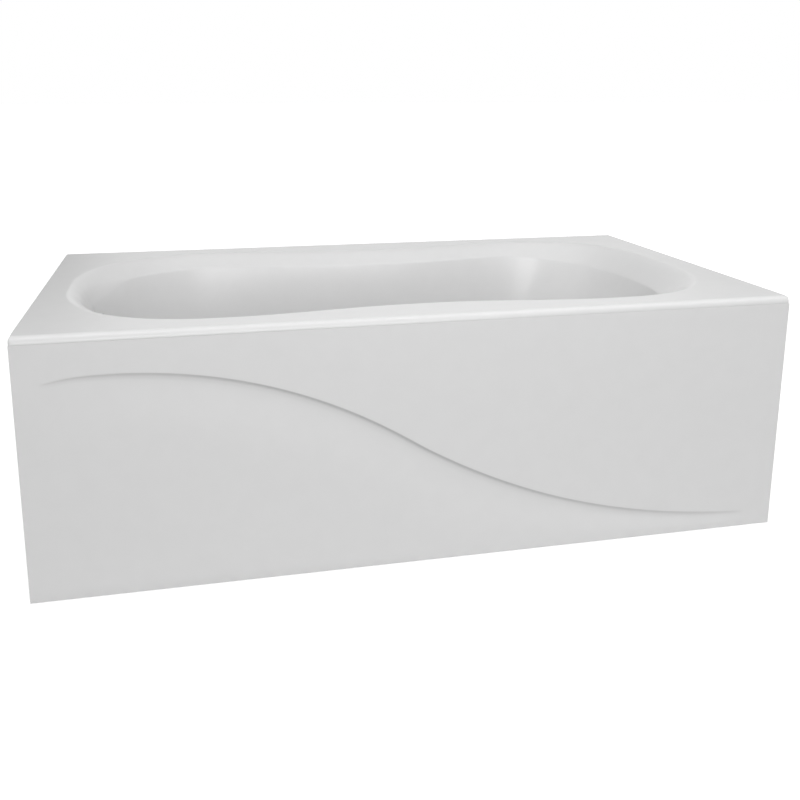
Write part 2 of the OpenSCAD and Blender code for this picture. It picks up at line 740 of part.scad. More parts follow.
module front_panel() {
    z0 = panel_floor_gap;
    color([0.93, 0.93, 0.93]) difference() {
        union() {
            translate([-half_l, panel_front_y, z0]) cube([tub_length, panel_t, panel_top_z - z0]);
            for (x = [-half_l, half_l - panel_t])
                translate([x, panel_front_y, z0])
                    cube([panel_t, panel_return, lip_z - return_lip_gap - z0]);
            translate([-half_l, panel_front_y, rib_z]) cube([tub_length, panel_return, panel_t]);
        }
        s_groove();
    }
}
module panel_strip(z) {
    x0 = -half_l + panel_t + strip_end_gap;
    color([0.72, 0.55, 0.36]) translate([x0, panel_back_y, z]) cube([-2 * x0, strip_t, strip_h]);
}
module panel_strip_top() { panel_strip(strip_high_z); }
module panel_strip_bottom() { panel_strip(strip_low_z); }

magnet_r = 8;
keeper_t = 1.5;
strip_back_y = panel_back_y + strip_t;
upright_front_y = -cross_length / 2;
magnet_gap = 0.2;
magnet_t = upright_front_y - keeper_t - magnet_gap - strip_back_y;
magnet_places = [for (x = [cross_left, cross_right]) for (z = [strip_low_z, strip_high_z])
    [x, z + strip_h / 2]];
module panel_magnets() {
    color([0.3, 0.3, 0.32])
        for (p = magnet_places) translate([p.x, strip_back_y + magnet_t, p.y]) rotate([90, 0, 0])
            cylinder(r = magnet_r, h = magnet_t);
}
module magnet_keepers() {
    color(steel)
        for (p = magnet_places)
            translate([p.x - upright / 2, upright_front_y - keeper_t, p.y - upright / 2])
                cube([upright, keeper_t, upright]);
}
// Brackets on the cross members that carry the panel's inner rib
bracket_l = 55;
bracket_h = tube - 4;
tongue_l = 30;
tongue_gap = 1;
tongue_root = 15;
module panel_brackets() {
    tongue_y = panel_back_y + tongue_gap;
    color(steel) for (x = [cross_left, cross_right]) translate([x + tube / 2, 0, cross_z]) {
        translate([0, upright_front_y, 0]) cube([plate_t, bracket_l, bracket_h]);
        translate([0, tongue_y, 0]) cube([tongue_l, upright_front_y + tongue_root - tongue_y, plate_t]);
    }
}

// ---- Waste ----

plastic = [0.88, 0.88, 0.86];
chrome = [0.8, 0.81, 0.83];
drain_tube_r = drain_hole_r - 2;
drain_tube_wall = 3;
spoke_w = 3;
spoke_h = 6;
strainer_h = 10;
strainer_wall = 3;
body_flange_r = drain_hole_r + 12;
body_flange_t = 4;
gasket_t = 3;
body_top_z = floor_z - wall_t - gasket_t;
body_wall = 3.5;
tube_fit = 0.1;
mouth_h = 20;
cavity_r = drain_tube_r + tube_fit + 3;
body_r = cavity_r + body_wall;
body_floor_z = pipe_z - pipe_r - body_wall - 1;
socket_r = pipe_r + pipe_clear + socket_wall;
socket_l = 26;
socket_in = 14;
drain_tube_l = wall_t + gasket_t + 16;

module drain_flange() {
    tube_low_z = floor_z - drain_tube_l;
    color(chrome) translate([drain_x, 0, 0]) {
        difference() {
            union() {
                translate([0, 0, floor_z]) cylinder(r = drain_flange_r, h = drain_flange_t);
                translate([0, 0, tube_low_z]) cylinder(r = drain_tube_r, h = drain_tube_l + eps);
            }
            translate([0, 0, tube_low_z - 1])
                cylinder(r = drain_tube_r - drain_tube_wall, h = drain_tube_l + drain_flange_t + 2);
        }
        difference() {
            union() {
                for (a = [0:90:270]) rotate([0, 0, a + 45]) translate([pin_r + 1, -spoke_w / 2, tube_low_z])
                    cube([drain_tube_r - drain_tube_wall - pin_r, spoke_w, spoke_h]);
                translate([0, 0, tube_low_z]) cylinder(r = pin_r + strainer_wall, h = strainer_h);
            }
            translate([0, 0, tube_low_z - 1]) cylinder(r = pin_r + run_clear, h = strainer_h + 2);
        }
    }
}
module drain_gasket() {
    color([0.12, 0.12, 0.13])
        translate([drain_x, 0, body_top_z]) ring_solid(body_flange_r, drain_hole_r, gasket_t);
}

lever_axle_x = drain_x + lever_l;
lever_axle_z = pipe_z + 8;
lever_half = asin(plug_lift / 2 / lever_l);
lever_tip_r = 3;
lever_w = 5;
lever_t = 4;
lever_hub_wall = 2.5;
lever_hub_w = 8;
axle_gap = 0.3;
axle_reach = sqrt(pow(cavity_r, 2) - pow(lever_l, 2)) + 2;
gland_wall = 4;
gland_out = 8;
core_r = 1.5;
drain_socket_x = drain_x - body_r - socket_l + 5;
module drain_body() {
    color(plastic) difference() {
        union() {
            translate([drain_x, 0, body_top_z - body_flange_t])
                cylinder(r = body_flange_r, h = body_flange_t);
            translate([drain_x, 0, body_floor_z]) cylinder(r = body_r, h = body_top_z - body_floor_z - eps);
            translate([drain_socket_x, 0, pipe_z]) rotate([0, 90, 0])
                cylinder(r = socket_r, h = drain_x - drain_socket_x);
            translate([drain_x, -body_r - gland_out, lever_axle_z]) rotate([-90, 0, 0])
                cylinder(r = cable_r + gland_wall, h = gland_out + 4);
        }
        translate([drain_x, 0, body_floor_z + body_wall])
            cylinder(r = cavity_r, h = body_top_z - mouth_h - body_floor_z - body_wall);
        translate([drain_x, 0, body_top_z - mouth_h - 1])
            cylinder(r = drain_tube_r + tube_fit, h = mouth_h + 5);
        translate([drain_socket_x - 5, 0, pipe_z]) rotate([0, 90, 0])
            cylinder(r = pipe_r + pipe_clear, h = socket_l + 4);
        translate([drain_x - body_r - 1, 0, pipe_z]) rotate([0, 90, 0])
            cylinder(r = pipe_r - pipe_wall, h = body_r);
        translate([lever_axle_x, axle_reach, lever_axle_z]) rotate([90, 0, 0])
            cylinder(r = axle_r + bush_fit, h = 2 * axle_reach);
        translate([drain_x, -body_r - gland_out - 1, lever_axle_z]) rotate([-90, 0, 0])
            cylinder(r = cable_r + run_clear, h = gland_out + 1);
        translate([drain_x, -body_r - 1, lever_axle_z]) rotate([-90, 0, 0])
            cylinder(r = core_r, h = body_wall + 5);
    }
}
module lever_axle() {
    color(steel) translate([lever_axle_x, axle_reach - axle_gap, lever_axle_z]) rotate([90, 0, 0])
        cylinder(r = axle_r, h = 2 * (axle_reach - axle_gap));
}
// The lever lies tip down at rest and swings the same angle above level when the plug is up
module lift_lever() {
    color([0.85, 0.85, 0.6]) translate([lever_axle_x, 0, lever_axle_z]) rotate([0, -lever_half, 0])
    difference() {
        union() {
            translate([0, lever_hub_w / 2, 0]) rotate([90, 0, 0])
                cylinder(r = axle_r + lever_hub_wall, h = lever_hub_w);
            translate([-lever_l, -lever_w / 2, -lever_t / 2]) cube([lever_l, lever_w, lever_t]);
            translate([-lever_l, lever_w / 2, 0]) rotate([90, 0, 0]) cylinder(r = lever_tip_r, h = lever_w);
        }
        translate([0, lever_hub_w / 2 + 1, 0]) rotate([90, 0, 0])
            cylinder(r = axle_r + run_clear, h = lever_hub_w + 2);
    }
}

seal_t = 2.4;
plug_gap = 0.1;
seal_r = plug_r - 2.4;
seal_z = floor_z + drain_flange_t + plug_gap;
cap_z = seal_z + seal_t;
cap_edge = 2;
cap_rise = 5;
tip_gap = 0.15;
pin_low_z = lever_axle_z - lever_l * sin(lever_half) + lever_tip_r + tip_gap;
module plug_cap() {
    color(chrome) translate([drain_x, 0, cap_z]) rotate_extrude()
        polygon(concat([[0, 0], [plug_r, 0], [plug_r, cap_edge]],
            [for (a = [15:15:75]) [(plug_r - 1) * cos(a), cap_edge + cap_rise * sin(a)]],
            [[0, cap_edge + cap_rise]]));
}
module plug_seal() {
    color([0.12, 0.12, 0.13]) translate([drain_x, 0, seal_z]) ring_solid(seal_r, pin_r + bush_fit, seal_t);
}
module plug_pin() {
    color(steel) translate([drain_x, 0, pin_low_z]) cylinder(r = pin_r, h = cap_z - pin_low_z);
}

tee_side = 46;
tee_up = 36;
tee_down = 32;
nut_wall = 5;
nut_off = 8.5;
nut_on = nut_h - nut_off;
nut_face = 5;
nut_fit = 0.1;
washer_h = 3.2;
module drain_pipe() {
    x0 = stack_x + tee_side - socket_in;
    x1 = drain_x - body_r + 1;
    color(plastic) translate([x0, 0, pipe_z]) rotate([0, 90, 0])
        ring_solid(pipe_r, pipe_r - pipe_wall, x1 - x0);
}
module waste_tee() {
    color(plastic) difference() {
        union() {
            translate([stack_x, 0, pipe_z - tee_down]) cylinder(r = socket_r, h = tee_down + tee_up);
            translate([stack_x, 0, pipe_z]) rotate([0, 90, 0]) cylinder(r = socket_r, h = tee_side);
        }
        translate([stack_x, 0, pipe_z - tee_down - 1])
            cylinder(r = pipe_r - pipe_wall, h = tee_down + tee_up + 2);
        translate([stack_x, 0, pipe_z + tee_up - socket_in])
            cylinder(r = pipe_r + pipe_clear, h = socket_in + 1);
        translate([stack_x, 0, pipe_z - tee_down - 1]) cylinder(r = pipe_r + pipe_clear, h = socket_in + 1);
        translate([stack_x, 0, pipe_z]) rotate([0, 90, 0])
            cylinder(r = pipe_r - pipe_wall, h = tee_side + 1);
        translate([stack_x + tee_side - socket_in, 0, pipe_z]) rotate([0, 90, 0])
            cylinder(r = pipe_r + pipe_clear, h = socket_in + 1);
    }
}
// The tailpiece, with a bead round it where the trap's nut stops
bead_h = 2;
bead_w = 1.5;
bead_z = pipe_z - tee_down + nut_on - nut_h - bead_h - 0.5;
module tailpiece() {
    color(plastic) difference() {
        union() {
            translate([stack_x, 0, tail_z])
                cylinder(r = pipe_r, h = pipe_z - tee_down + socket_in - tail_z);
            translate([stack_x, 0, bead_z]) cylinder(r = pipe_r + bead_w, h = bead_h);
        }
        translate([stack_x, 0, tail_z - 1]) cylinder(r = pipe_r - pipe_wall, h = tee_up + tee_down);
    }
}

over_flange_t = 3;
over_wall = 3;
sleeve_r = overflow_hole_r - 4;
sleeve_wall = 3;
sleeve_fit = 0.1;
over_body_r = overflow_hole_r + 4;
wall_gap = 0.3;
over_top = -wall_t - wall_gap - gasket_t;
over_back = over_top - overflow_depth;
over_mouth = 12;
// Where the upright pipe leaves the overflow body
over_spout_z = overflow_z - 34;
over_socket_z = over_spout_z - socket_l + 8;
over_pipe_top = over_spout_z - 4;
// Where the cable leaves the body at its side
gland_depth = over_back + 11;
gland_at = [seat_x + gland_depth * cos(seat_angle), 0, overflow_z + gland_depth * sin(seat_angle)];
over_gland_out = 6;
over_gland_wall = 3;
module overflow_pipe() {
    color(plastic) pipe_up(stack_x, pipe_z + tee_up - socket_in, over_pipe_top);
}
module overflow_body() {
    color(plastic) difference() {
        union() {
            at_overflow() translate([0, 0, over_top - over_flange_t])
                cylinder(r = overflow_r, h = over_flange_t);
            at_overflow() translate([0, 0, over_back]) cylinder(r = over_body_r, h = overflow_depth - eps);
            translate([stack_x, 0, over_socket_z]) cylinder(r = socket_r, h = socket_l + 12);
            translate([gland_at.x, -over_body_r - over_gland_out, gland_at.z]) rotate([-90, 0, 0])
                cylinder(r = cable_r + over_gland_wall, h = over_gland_out + 6);
        }
        at_overflow() translate([0, 0, over_back + over_wall])
            cylinder(r = over_body_r - over_wall, h = overflow_depth - over_wall - over_mouth);
        at_overflow() translate([0, 0, over_top - over_mouth - 1])
            cylinder(r = sleeve_r + sleeve_fit, h = over_mouth + 8);
        translate([stack_x, 0, over_socket_z - 1])
            cylinder(r = pipe_r + pipe_clear, h = over_pipe_top - over_socket_z + 1);
        translate([stack_x, 0, over_pipe_top - 2]) cylinder(r = pipe_r - pipe_wall - 4, h = 20);
        translate([gland_at.x, -over_body_r - over_gland_out - 1, gland_at.z]) rotate([-90, 0, 0])
            cylinder(r = cable_r + run_clear, h = over_gland_out + 10);
    }
}
module overflow_gasket() {
    color([0.12, 0.12, 0.13]) at_overflow() translate([0, 0, over_top])
        ring_solid(overflow_r, overflow_hole_r, gasket_t);
}
// Clamping flange on the well's side: its threaded sleeve draws the body against the gasket
seat_gap = 0.1;
over_spoke_w = 3;
module overflow_flange() {
    color(chrome) at_overflow() {
        translate([0, 0, seat_gap]) ring_solid(overflow_r - 1, sleeve_r - sleeve_wall, over_flange_t);
        translate([0, 0, over_top - over_mouth])
            ring_solid(sleeve_r, sleeve_r - sleeve_wall, over_mouth - over_top + seat_gap + eps);
        difference() {
            union() {
                cylinder(r = spindle_r + 3, h = over_flange_t);
                for (a = [0:90:270]) rotate([0, 0, a]) translate([spindle_r + 1, -over_spoke_w / 2, seat_gap])
                    cube([sleeve_r - sleeve_wall - spindle_r + 0.5, over_spoke_w, over_flange_t]);
            }
            translate([0, 0, -1]) cylinder(r = spindle_r + run_clear, h = over_flange_t + 2);
        }
    }
}
knob_back = seat_gap + over_flange_t + knob_gap;
knob_r = overflow_r - 2;
knob_bevel = 3;
knob_face_t = 3;
knob_boss_wall = 5;
grip_r = 2;
module overflow_knob() {
    color(chrome) at_overflow() difference() {
        union() {
            translate([0, 0, knob_back]) cylinder(r = knob_r, h = knob_h - knob_bevel);
            translate([0, 0, knob_back + knob_h - knob_bevel])
                cylinder(r1 = knob_r, r2 = knob_r - knob_bevel, h = knob_bevel);
        }
        translate([0, 0, knob_back - 1])
            ring_solid(knob_r - 3, spindle_r + knob_boss_wall, knob_h - knob_face_t + 1);
        translate([0, 0, knob_back - 1]) cylinder(r = spindle_r + bush_fit, h = knob_h - knob_face_t);
        for (a = [0:20:340]) rotate([0, 0, a])
            translate([knob_r + grip_r / 2, 0, knob_back - 1]) cylinder(r = grip_r, h = knob_h + 2);
    }
}
drum_r = 11;
drum_h = 8;
module knob_spindle() {
    spindle_z = over_back + over_wall + 1;
    color(steel) at_overflow() {
        translate([0, 0, spindle_z])
            cylinder(r = spindle_r, h = knob_back + knob_h - knob_face_t - 1.2 - spindle_z);
        translate([0, 0, spindle_z]) cylinder(r = drum_r, h = drum_h);
    }
}

// A slip nut round a socket's end: local +Z leads from the socket on to the pipe
module slip_nut() {
    difference() {
        cylinder(r = socket_r + nut_wall, h = nut_h, $fn = 8);
        translate([0, 0, -1]) cylinder(r = socket_r + nut_fit, h = nut_h - nut_face + 1);
        cylinder(r = pipe_r + nut_fit, h = nut_h + 1);
    }
}
module slip_washer() {
    translate([0, 0, nut_on + 0.1]) ring_solid(socket_r - 0.3, pipe_r + bush_fit, washer_h);
}
module at_joints() {
    translate([stack_x, 0, over_socket_z + nut_on]) rotate([180, 0, 0]) children();
    translate([stack_x, 0, pipe_z + tee_up - nut_on]) children();
    translate([stack_x, 0, pipe_z - tee_down + nut_on]) rotate([180, 0, 0]) children();
    translate([stack_x + tee_side - nut_on, 0, pipe_z]) rotate([0, 90, 0]) children();
    translate([drain_socket_x + nut_on, 0, pipe_z]) rotate([0, -90, 0]) children();
}
module slip_nuts() { color([0.93, 0.93, 0.92]) at_joints() slip_nut(); }
module slip_washers() { color([0.3, 0.3, 0.32]) at_joints() slip_washer(); }

// ---- Cable: one tube swept along points down the overflow pipe and along the waste pipe ----

cable_y = -(socket_r + nut_wall) - cable_r - 2;
tie_low = pipe_z + 130;
tie_mid = pipe_z + 170;
tie_high = pipe_z + 210;
cable_points = [
    [gland_at.x, -over_body_r + 3, gland_at.z],
    [gland_at.x, -over_body_r - 8, gland_at.z],
    [stack_x + 3, cable_y - 14.8, overflow_z - 8],
    [stack_x + 2, cable_y - 21.8, overflow_z - 17],
    [stack_x + 1, cable_y - 23.8, overflow_z - 30],
    [stack_x, cable_y - 20.8, overflow_z - 46],
    [stack_x, cable_y - 13.8, overflow_z - 65],
    [stack_x, cable_y - 4.8, overflow_z - 86],
    [stack_x, cable_y, overflow_z - 108],
    [stack_x, cable_y, tie_high],
    [stack_x, cable_y, tie_mid],
    [stack_x, cable_y, tie_low],
    [stack_x + 2, cable_y, pipe_z + 90],
    [stack_x + 9, cable_y, pipe_z + 60],
    [stack_x + 25, cable_y, pipe_z + 38],
    [stack_x + 47, cable_y, pipe_z + 26],
    [stack_x + 72, cable_y, pipe_z + 22],
    [drain_x - 120, cable_y, pipe_z + 21],
    [drain_x - 90, cable_y, pipe_z + 19],
    [drain_x - 60, cable_y - 6, pipe_z + 15],
    [drain_x - 38, cable_y - 18, pipe_z + 11],
    [drain_x - 20, -body_r - 28.6, lever_axle_z],
    [drain_x - 7, -body_r - 27.6, lever_axle_z],
    [drain_x, -body_r - 16, lever_axle_z],
    [drain_x, -body_r - gland_out, lever_axle_z],
    [drain_x, -body_r - 0.5, lever_axle_z]
];
cable_sides = 8;
module cable_sheath() {
    last = len(cable_points) - 1;
    rings = [for (i = [0:last])
        let (v = unit(cable_points[min(last, i + 1)] - cable_points[max(0, i - 1)]),
             u = unit(cross(v, [0.3, 1, 0.2])), w = cross(v, u))
        [for (k = [0:cable_sides - 1]) let (a = 360 * k / cable_sides)
            cable_points[i] + (cable_r - 0.2) * (cos(a) * u + sin(a) * w)]];
    color([0.2, 0.2, 0.22]) ring_stack(rings);
}
// Ties that hold the cable to the overflow pipe
tie_t = 1.5;
tie_h = 5;
tie_link_w = 2;
module cable_ties() {
    color([0.15, 0.15, 0.16]) for (z = [tie_low, tie_mid, tie_high]) translate([stack_x, 0, z - tie_h / 2]) {
        ring_solid(pipe_r + 0.1 + tie_t, pipe_r + 0.1, tie_h);
        translate([0, cable_y, 0]) ring_solid(cable_r + 0.1 + tie_t, cable_r + 0.3, tie_h);
        translate([-tie_link_w / 2, cable_y + cable_r + 1, 0])
            cube([tie_link_w, -cable_y - cable_r - pipe_r - 2, tie_h]);
    }
}

tub_shell();
grp_backing();
base_board();
rim_batten_front();
rim_batten_back();
rim_batten_left();
rim_batten_right();
frame_rail_front();
frame_rail_back();
cross_member_left();
cross_member_right();
upright_front_left();
upright_front_right();
upright_back_left();
upright_back_right();
frame_screws();
board_screws();
foot_bushes();
lock_nuts();
foot_screw_rail_front();
foot_screw_rail_back();
foot_screw_left_front();
foot_screw_left_back();
foot_screw_right_front();
foot_screw_right_back();
foot_pad_rail_front();
foot_pad_rail_back();
foot_pad_left_front();
foot_pad_left_back();
foot_pad_right_front();
foot_pad_right_back();
wall_hook_left();
wall_hook_right();
front_panel();
panel_strip_top();
panel_strip_bottom();
panel_magnets();
magnet_keepers();
panel_brackets();
drain_flange();
drain_gasket();
drain_body();
lever_axle();
lift_lever();
plug_cap();
plug_seal();
plug_pin();
drain_pipe();
waste_tee();
tailpiece();
overflow_pipe();
overflow_body();
overflow_gasket();
overflow_flange();
overflow_knob();
knob_spindle();
slip_nuts();
slip_washers();
cable_sheath();
cable_ties();
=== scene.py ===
"""Alcove bathtub: smooth acrylic shell, grooved front panel, cradle, feet and pop-up waste.

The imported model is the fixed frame. Sizes in the classes are in millimetres, in the frame
whose origin is the middle of the footprint on the floor: +X runs along the tub towards the
sloping backrest, the front panel faces -Y and +Z is up.
"""

import json
import logging
import math
from dataclasses import dataclass, field
from enum import Enum
from typing import Callable, Sequence

import bmesh
import bpy
import numpy as np
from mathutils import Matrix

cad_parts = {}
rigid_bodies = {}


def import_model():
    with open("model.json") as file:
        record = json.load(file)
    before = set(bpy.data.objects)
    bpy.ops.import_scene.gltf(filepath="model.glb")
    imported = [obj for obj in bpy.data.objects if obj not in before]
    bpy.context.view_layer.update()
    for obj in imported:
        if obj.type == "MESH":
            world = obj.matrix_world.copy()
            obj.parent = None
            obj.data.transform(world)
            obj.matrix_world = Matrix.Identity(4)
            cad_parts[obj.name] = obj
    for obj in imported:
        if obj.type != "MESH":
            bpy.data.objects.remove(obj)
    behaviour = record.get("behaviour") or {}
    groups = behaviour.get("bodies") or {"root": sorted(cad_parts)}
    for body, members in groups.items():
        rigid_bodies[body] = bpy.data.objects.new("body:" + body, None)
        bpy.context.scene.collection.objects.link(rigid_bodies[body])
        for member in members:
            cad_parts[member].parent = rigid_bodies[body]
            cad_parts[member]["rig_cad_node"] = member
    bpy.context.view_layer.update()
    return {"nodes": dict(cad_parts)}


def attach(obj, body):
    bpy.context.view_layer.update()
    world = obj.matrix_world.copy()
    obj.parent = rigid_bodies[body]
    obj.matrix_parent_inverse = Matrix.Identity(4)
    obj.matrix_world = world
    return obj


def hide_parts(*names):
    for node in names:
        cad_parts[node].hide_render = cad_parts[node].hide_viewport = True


MM = 0.001
log = logging.getLogger("bathtub")

Grid = np.ndarray
Object = bpy.types.Object
Socket = bpy.types.NodeSocket
Pair = tuple[float, float]
Triple = tuple[float, float, float]
Quad = tuple[float, float, float, float]
Value = Socket | float | Sequence[float]
Limit = Callable[[Grid, Grid], Grid]


# ---------------------------------------------------------------- mesh helpers


@dataclass(frozen=True)
class Place:
    """A place to build at: an origin and the two directions that local Z and X take."""

    origin: Triple = (0.0, 0.0, 0.0)
    along: Triple = (0.0, 0.0, 1.0)
    across: Triple = (1.0, 0.0, 0.0)

    def put(self, local: Grid) -> Grid:
        """Returns local points, with local Z along the axis, in the tub's frame."""
        z, x = np.array(self.along), np.array(self.across)
        return np.array(self.origin) + local @ np.array([x, np.cross(z, x), z])


def level(x: float, z: float, way: float = 1.0) -> Place:
    """Returns a place in the tub's middle plane whose axis runs along +X or -X."""
    return Place((x, 0.0, z), (way, 0.0, 0.0), (0.0, 1.0, 0.0))


def turned(profile: Sequence[Pair], place: Place, steps: int = 64, limit: Limit | None = None) -> Grid:
    """A profile of (radius, height) pairs turned about local Z: (r cos a, r sin a, h).

    Args:
        profile: The pairs, in order round the section.
        place: Where the axis is.
        steps: Points round the axis.
        limit: Gives the largest radius at each angle and height, as for flats and grips.

    Returns:
        A (len(profile), steps, 3) grid.
    """
    pairs = np.array(profile, float)[:, :, None]
    around = np.linspace(0, 2 * np.pi, steps, endpoint=False)
    r, h, angle = np.broadcast_arrays(pairs[:, 0], pairs[:, 1], around)
    if limit is not None:
        r = np.minimum(r, limit(angle, h))
    return place.put(np.stack([r * np.cos(angle), r * np.sin(angle), h], -1))


def arc(u: float, v: float, r: float, start: float, end: float, steps: int = 5) -> list[Pair]:
    """Points of a circle's arc: (u + r cos a, v + r sin a) for a from start to end degrees."""
    a = np.radians(np.linspace(start, end, steps))
    return list(zip((u + r * np.cos(a)).tolist(), (v + r * np.sin(a)).tolist()))


def rod(r: float, low: float, high: float, foot: float = 0.0, head: float = 0.0,
        bore: float = 0.0) -> list[Pair]:
    """A bar's or a tube's profile, its low edge cut by foot and its high one by head."""
    start = [(r - foot, low), (r, low + foot)] if foot else [(r, low)]
    end = [(r, high - head), (r - head, high)] if head else [(r, high)]
    return [(bore, low), *start, *end, (bore, high)]


def stepped(low: float, *steps: Pair) -> list[Pair]:
    """A profile of bars on top of each other; a step is a radius and the height where it ends."""
    pairs = [(0, low)]
    for r, high in steps:
        pairs += [(r, pairs[-1][1]), (r, high)]
    return [*pairs, (0, pairs[-1][1])]


def unit(vectors: Grid) -> Grid:
    """Returns the vectors at length 1; a vector of no length stays as it is."""
    return vectors / np.maximum(np.linalg.norm(vectors, axis=-1, keepdims=True), 1e-9)


def swept(path: Grid, section: Grid, up: Sequence[float] = (0.0, 0.0, 1.0), closed: bool = False,
          swell: Grid | float = 1.0) -> Grid:
    """A section carried along a path: path + u side + v lift, with lift square to side and path.

    Args:
        path: (m, 3) points.
        section: (k, 2) points of the closed section.
        up: A direction that the section's v leans towards.
        closed: True if the path is a loop; an open one gets its two end points as poles.
        swell: The section's size at each point of the path.

    Returns:
        A grid of rows along the path.
    """
    ahead = unit(np.roll(path, -1, 0) - np.roll(path, 1, 0) if closed else np.gradient(path, axis=0))
    side = unit(np.cross(np.asarray(up, float), ahead))
    lift = np.cross(ahead, side)
    size = np.broadcast_to(np.asarray(swell, float), (len(path),))[:, None, None]
    rows = path[:, None] + size * (section[:, :1] * side[:, None] + section[:, 1:] * lift[:, None])
    if closed:
        return rows
    poles = [np.repeat(path[k][None, None], len(section), 1) for k in (0, -1)]
    return np.concatenate([poles[0], rows, poles[1]])


def disc(r: float, steps: int) -> Grid:
    """A circle's points, as a section."""
    a = np.linspace(0, 2 * np.pi, steps, endpoint=False)
    return np.stack([r * np.cos(a), r * np.sin(a)], -1)


def block(width: float, height: float, r: float, steps: int = 4) -> Grid:
    """A rectangle with round corners, centred, as a section."""
    w, h = width / 2 - r, height / 2 - r
    corners = ((w, h, 0), (-w, h, 90), (-w, -h, 180), (w, -h, 270))
    return np.concatenate([arc(x, y, r, a, a + 90, steps) for x, y, a in corners])


class Shape:
    """Points and faces, in millimetres, gathered for one piece."""

    def __init__(self) -> None:
        """Starts with no points."""
        self.points: list[Grid] = []
        self.faces: list[list[int]] = []
        self.count = 0

    def add(self, points: Grid, faces: Grid | Sequence[Sequence[int]]) -> "Shape":
        """Adds points, and faces that number them from 0, and returns this shape."""
        self.faces.extend((np.asarray(faces) + self.count).tolist())
        self.points.append(np.asarray(points, float).reshape(-1, 3))
        self.count += len(self.points[-1])
        return self

    def grid(self, points: Grid, wrap_rows: bool = False, wrap_cols: bool = True) -> "Shape":
        """Adds a grid of points: each face joins (i, j) to (i+1, j), (i+1, j+1) and (i, j+1).

        Args:
            points: The (rows, cols, 3) grid.
            wrap_rows: True if the last row joins the first.
            wrap_cols: True if each row is a closed ring.

        Returns:
            This shape.
        """
        rows, cols = points.shape[:2]
        i = np.arange(rows if wrap_rows else rows - 1)[:, None]
        j = np.arange(cols if wrap_cols else cols - 1)[None, :]
        i2, j2 = (i + 1) % rows, (j + 1) % cols
        quads = [i * cols + j, i2 * cols + j, i2 * cols + j2, i * cols + j2]
        return self.add(points, np.stack(quads, -1).reshape(-1, 4))

    def lathe(self, profile: Sequence[Pair], place: Place, steps: int = 64,
              limit: Limit | None = None) -> "Shape":
        """Adds a turned profile, which closes on itself unless it starts on the axis."""
        return self.grid(turned(profile, place, steps, limit), wrap_rows=profile[0][0] > 0)

    def box(self, low: Triple, high: Triple) -> "Shape":
        """Adds a closed box between its lowest and its highest corner."""
        corners = np.stack(np.meshgrid(*zip(low, high), indexing="ij"), -1)
        faces = [(0, 1, 3, 2), (4, 6, 7, 5), (0, 4, 5, 1), (2, 3, 7, 6), (0, 2, 6, 4), (1, 5, 7, 3)]
        return self.add(corners, faces)

    def make(self, name: str, sharp: float = 35.0) -> Object:
        """Makes the Blender object: doubles merged, faces outward, smooth but for sharp edges.

        Args:
            name: The piece's name.
            sharp: Angle in degrees above which an edge stays sharp.

        Returns:
            The new object, at the origin, in metres.
        """
        mesh = bpy.data.meshes.new(name)
        mesh.from_pydata((np.concatenate(self.points) * MM).tolist(), [], self.faces)
        work = bmesh.new()
        work.from_mesh(mesh)
        bmesh.ops.remove_doubles(work, verts=work.verts, dist=2e-6)
        bmesh.ops.recalc_face_normals(work, faces=work.faces)
        work.to_mesh(mesh)
        work.free()
        mesh.shade_smooth()
        mesh.set_sharp_from_angle(angle=math.radians(sharp))
        made = bpy.data.objects.new(name, mesh)
        bpy.context.scene.collection.objects.link(made)
        return made


def combine(target: Object, tool: Object, operation: str) -> None:
    """Cuts or joins one closed mesh with another, and deletes the tool.

    Args:
        target: The mesh that is kept.
        tool: The mesh that cuts or joins.
        operation: DIFFERENCE or UNION.
    """
    step = target.modifiers.new("combine", "BOOLEAN")
    step.operation, step.object, step.solver = operation, tool, "EXACT"
    ready = target.evaluated_get(bpy.context.evaluated_depsgraph_get())
    mesh = bpy.data.meshes.new_from_object(ready)
    target.modifiers.clear()
    old, target.data = target.data, mesh
    bpy.data.meshes.remove(old)
    bpy.data.objects.remove(tool)


def fused(name: str, outers: Sequence[Grid], inners: Sequence[Grid]) -> Object:
    """Joins closed outer shells and cuts closed inner ones from them.

    Args:
        name: The piece's name.
        outers: Grids of closed rings, each with its two poles.
        inners: Grids that are cut away.

    Returns:
        The joined object.
    """
    whole = Shape().grid(outers[0]).make(name)
    for word, grids, operation in (("add", outers[1:], "UNION"), ("cut", inners, "DIFFERENCE")):
        for k, grid in enumerate(grids):
            combine(whole, Shape().grid(grid).make(f"{name}_{word}_{k}"), operation)
    whole.data.set_sharp_from_angle(angle=math.radians(35))
    return whole


# ---------------------------------------------------------------- finishes


class Finish(Enum):
    """The finishes of the tub's parts, by the name of the record's material slot."""

    ACRYLIC = "acrylic"
    PANEL = "panel_acrylic"
    RESIN = "resin"
    BOARD = "board"
    BATTEN = "batten"
    GALVANISED = "galvanised"
    ZINC = "zinc"
    CHROME = "chrome"
    PIPE = "pipe"
    BLACK = "black_plastic"
    RUBBER = "rubber"
    LEVER = "lever_plastic"


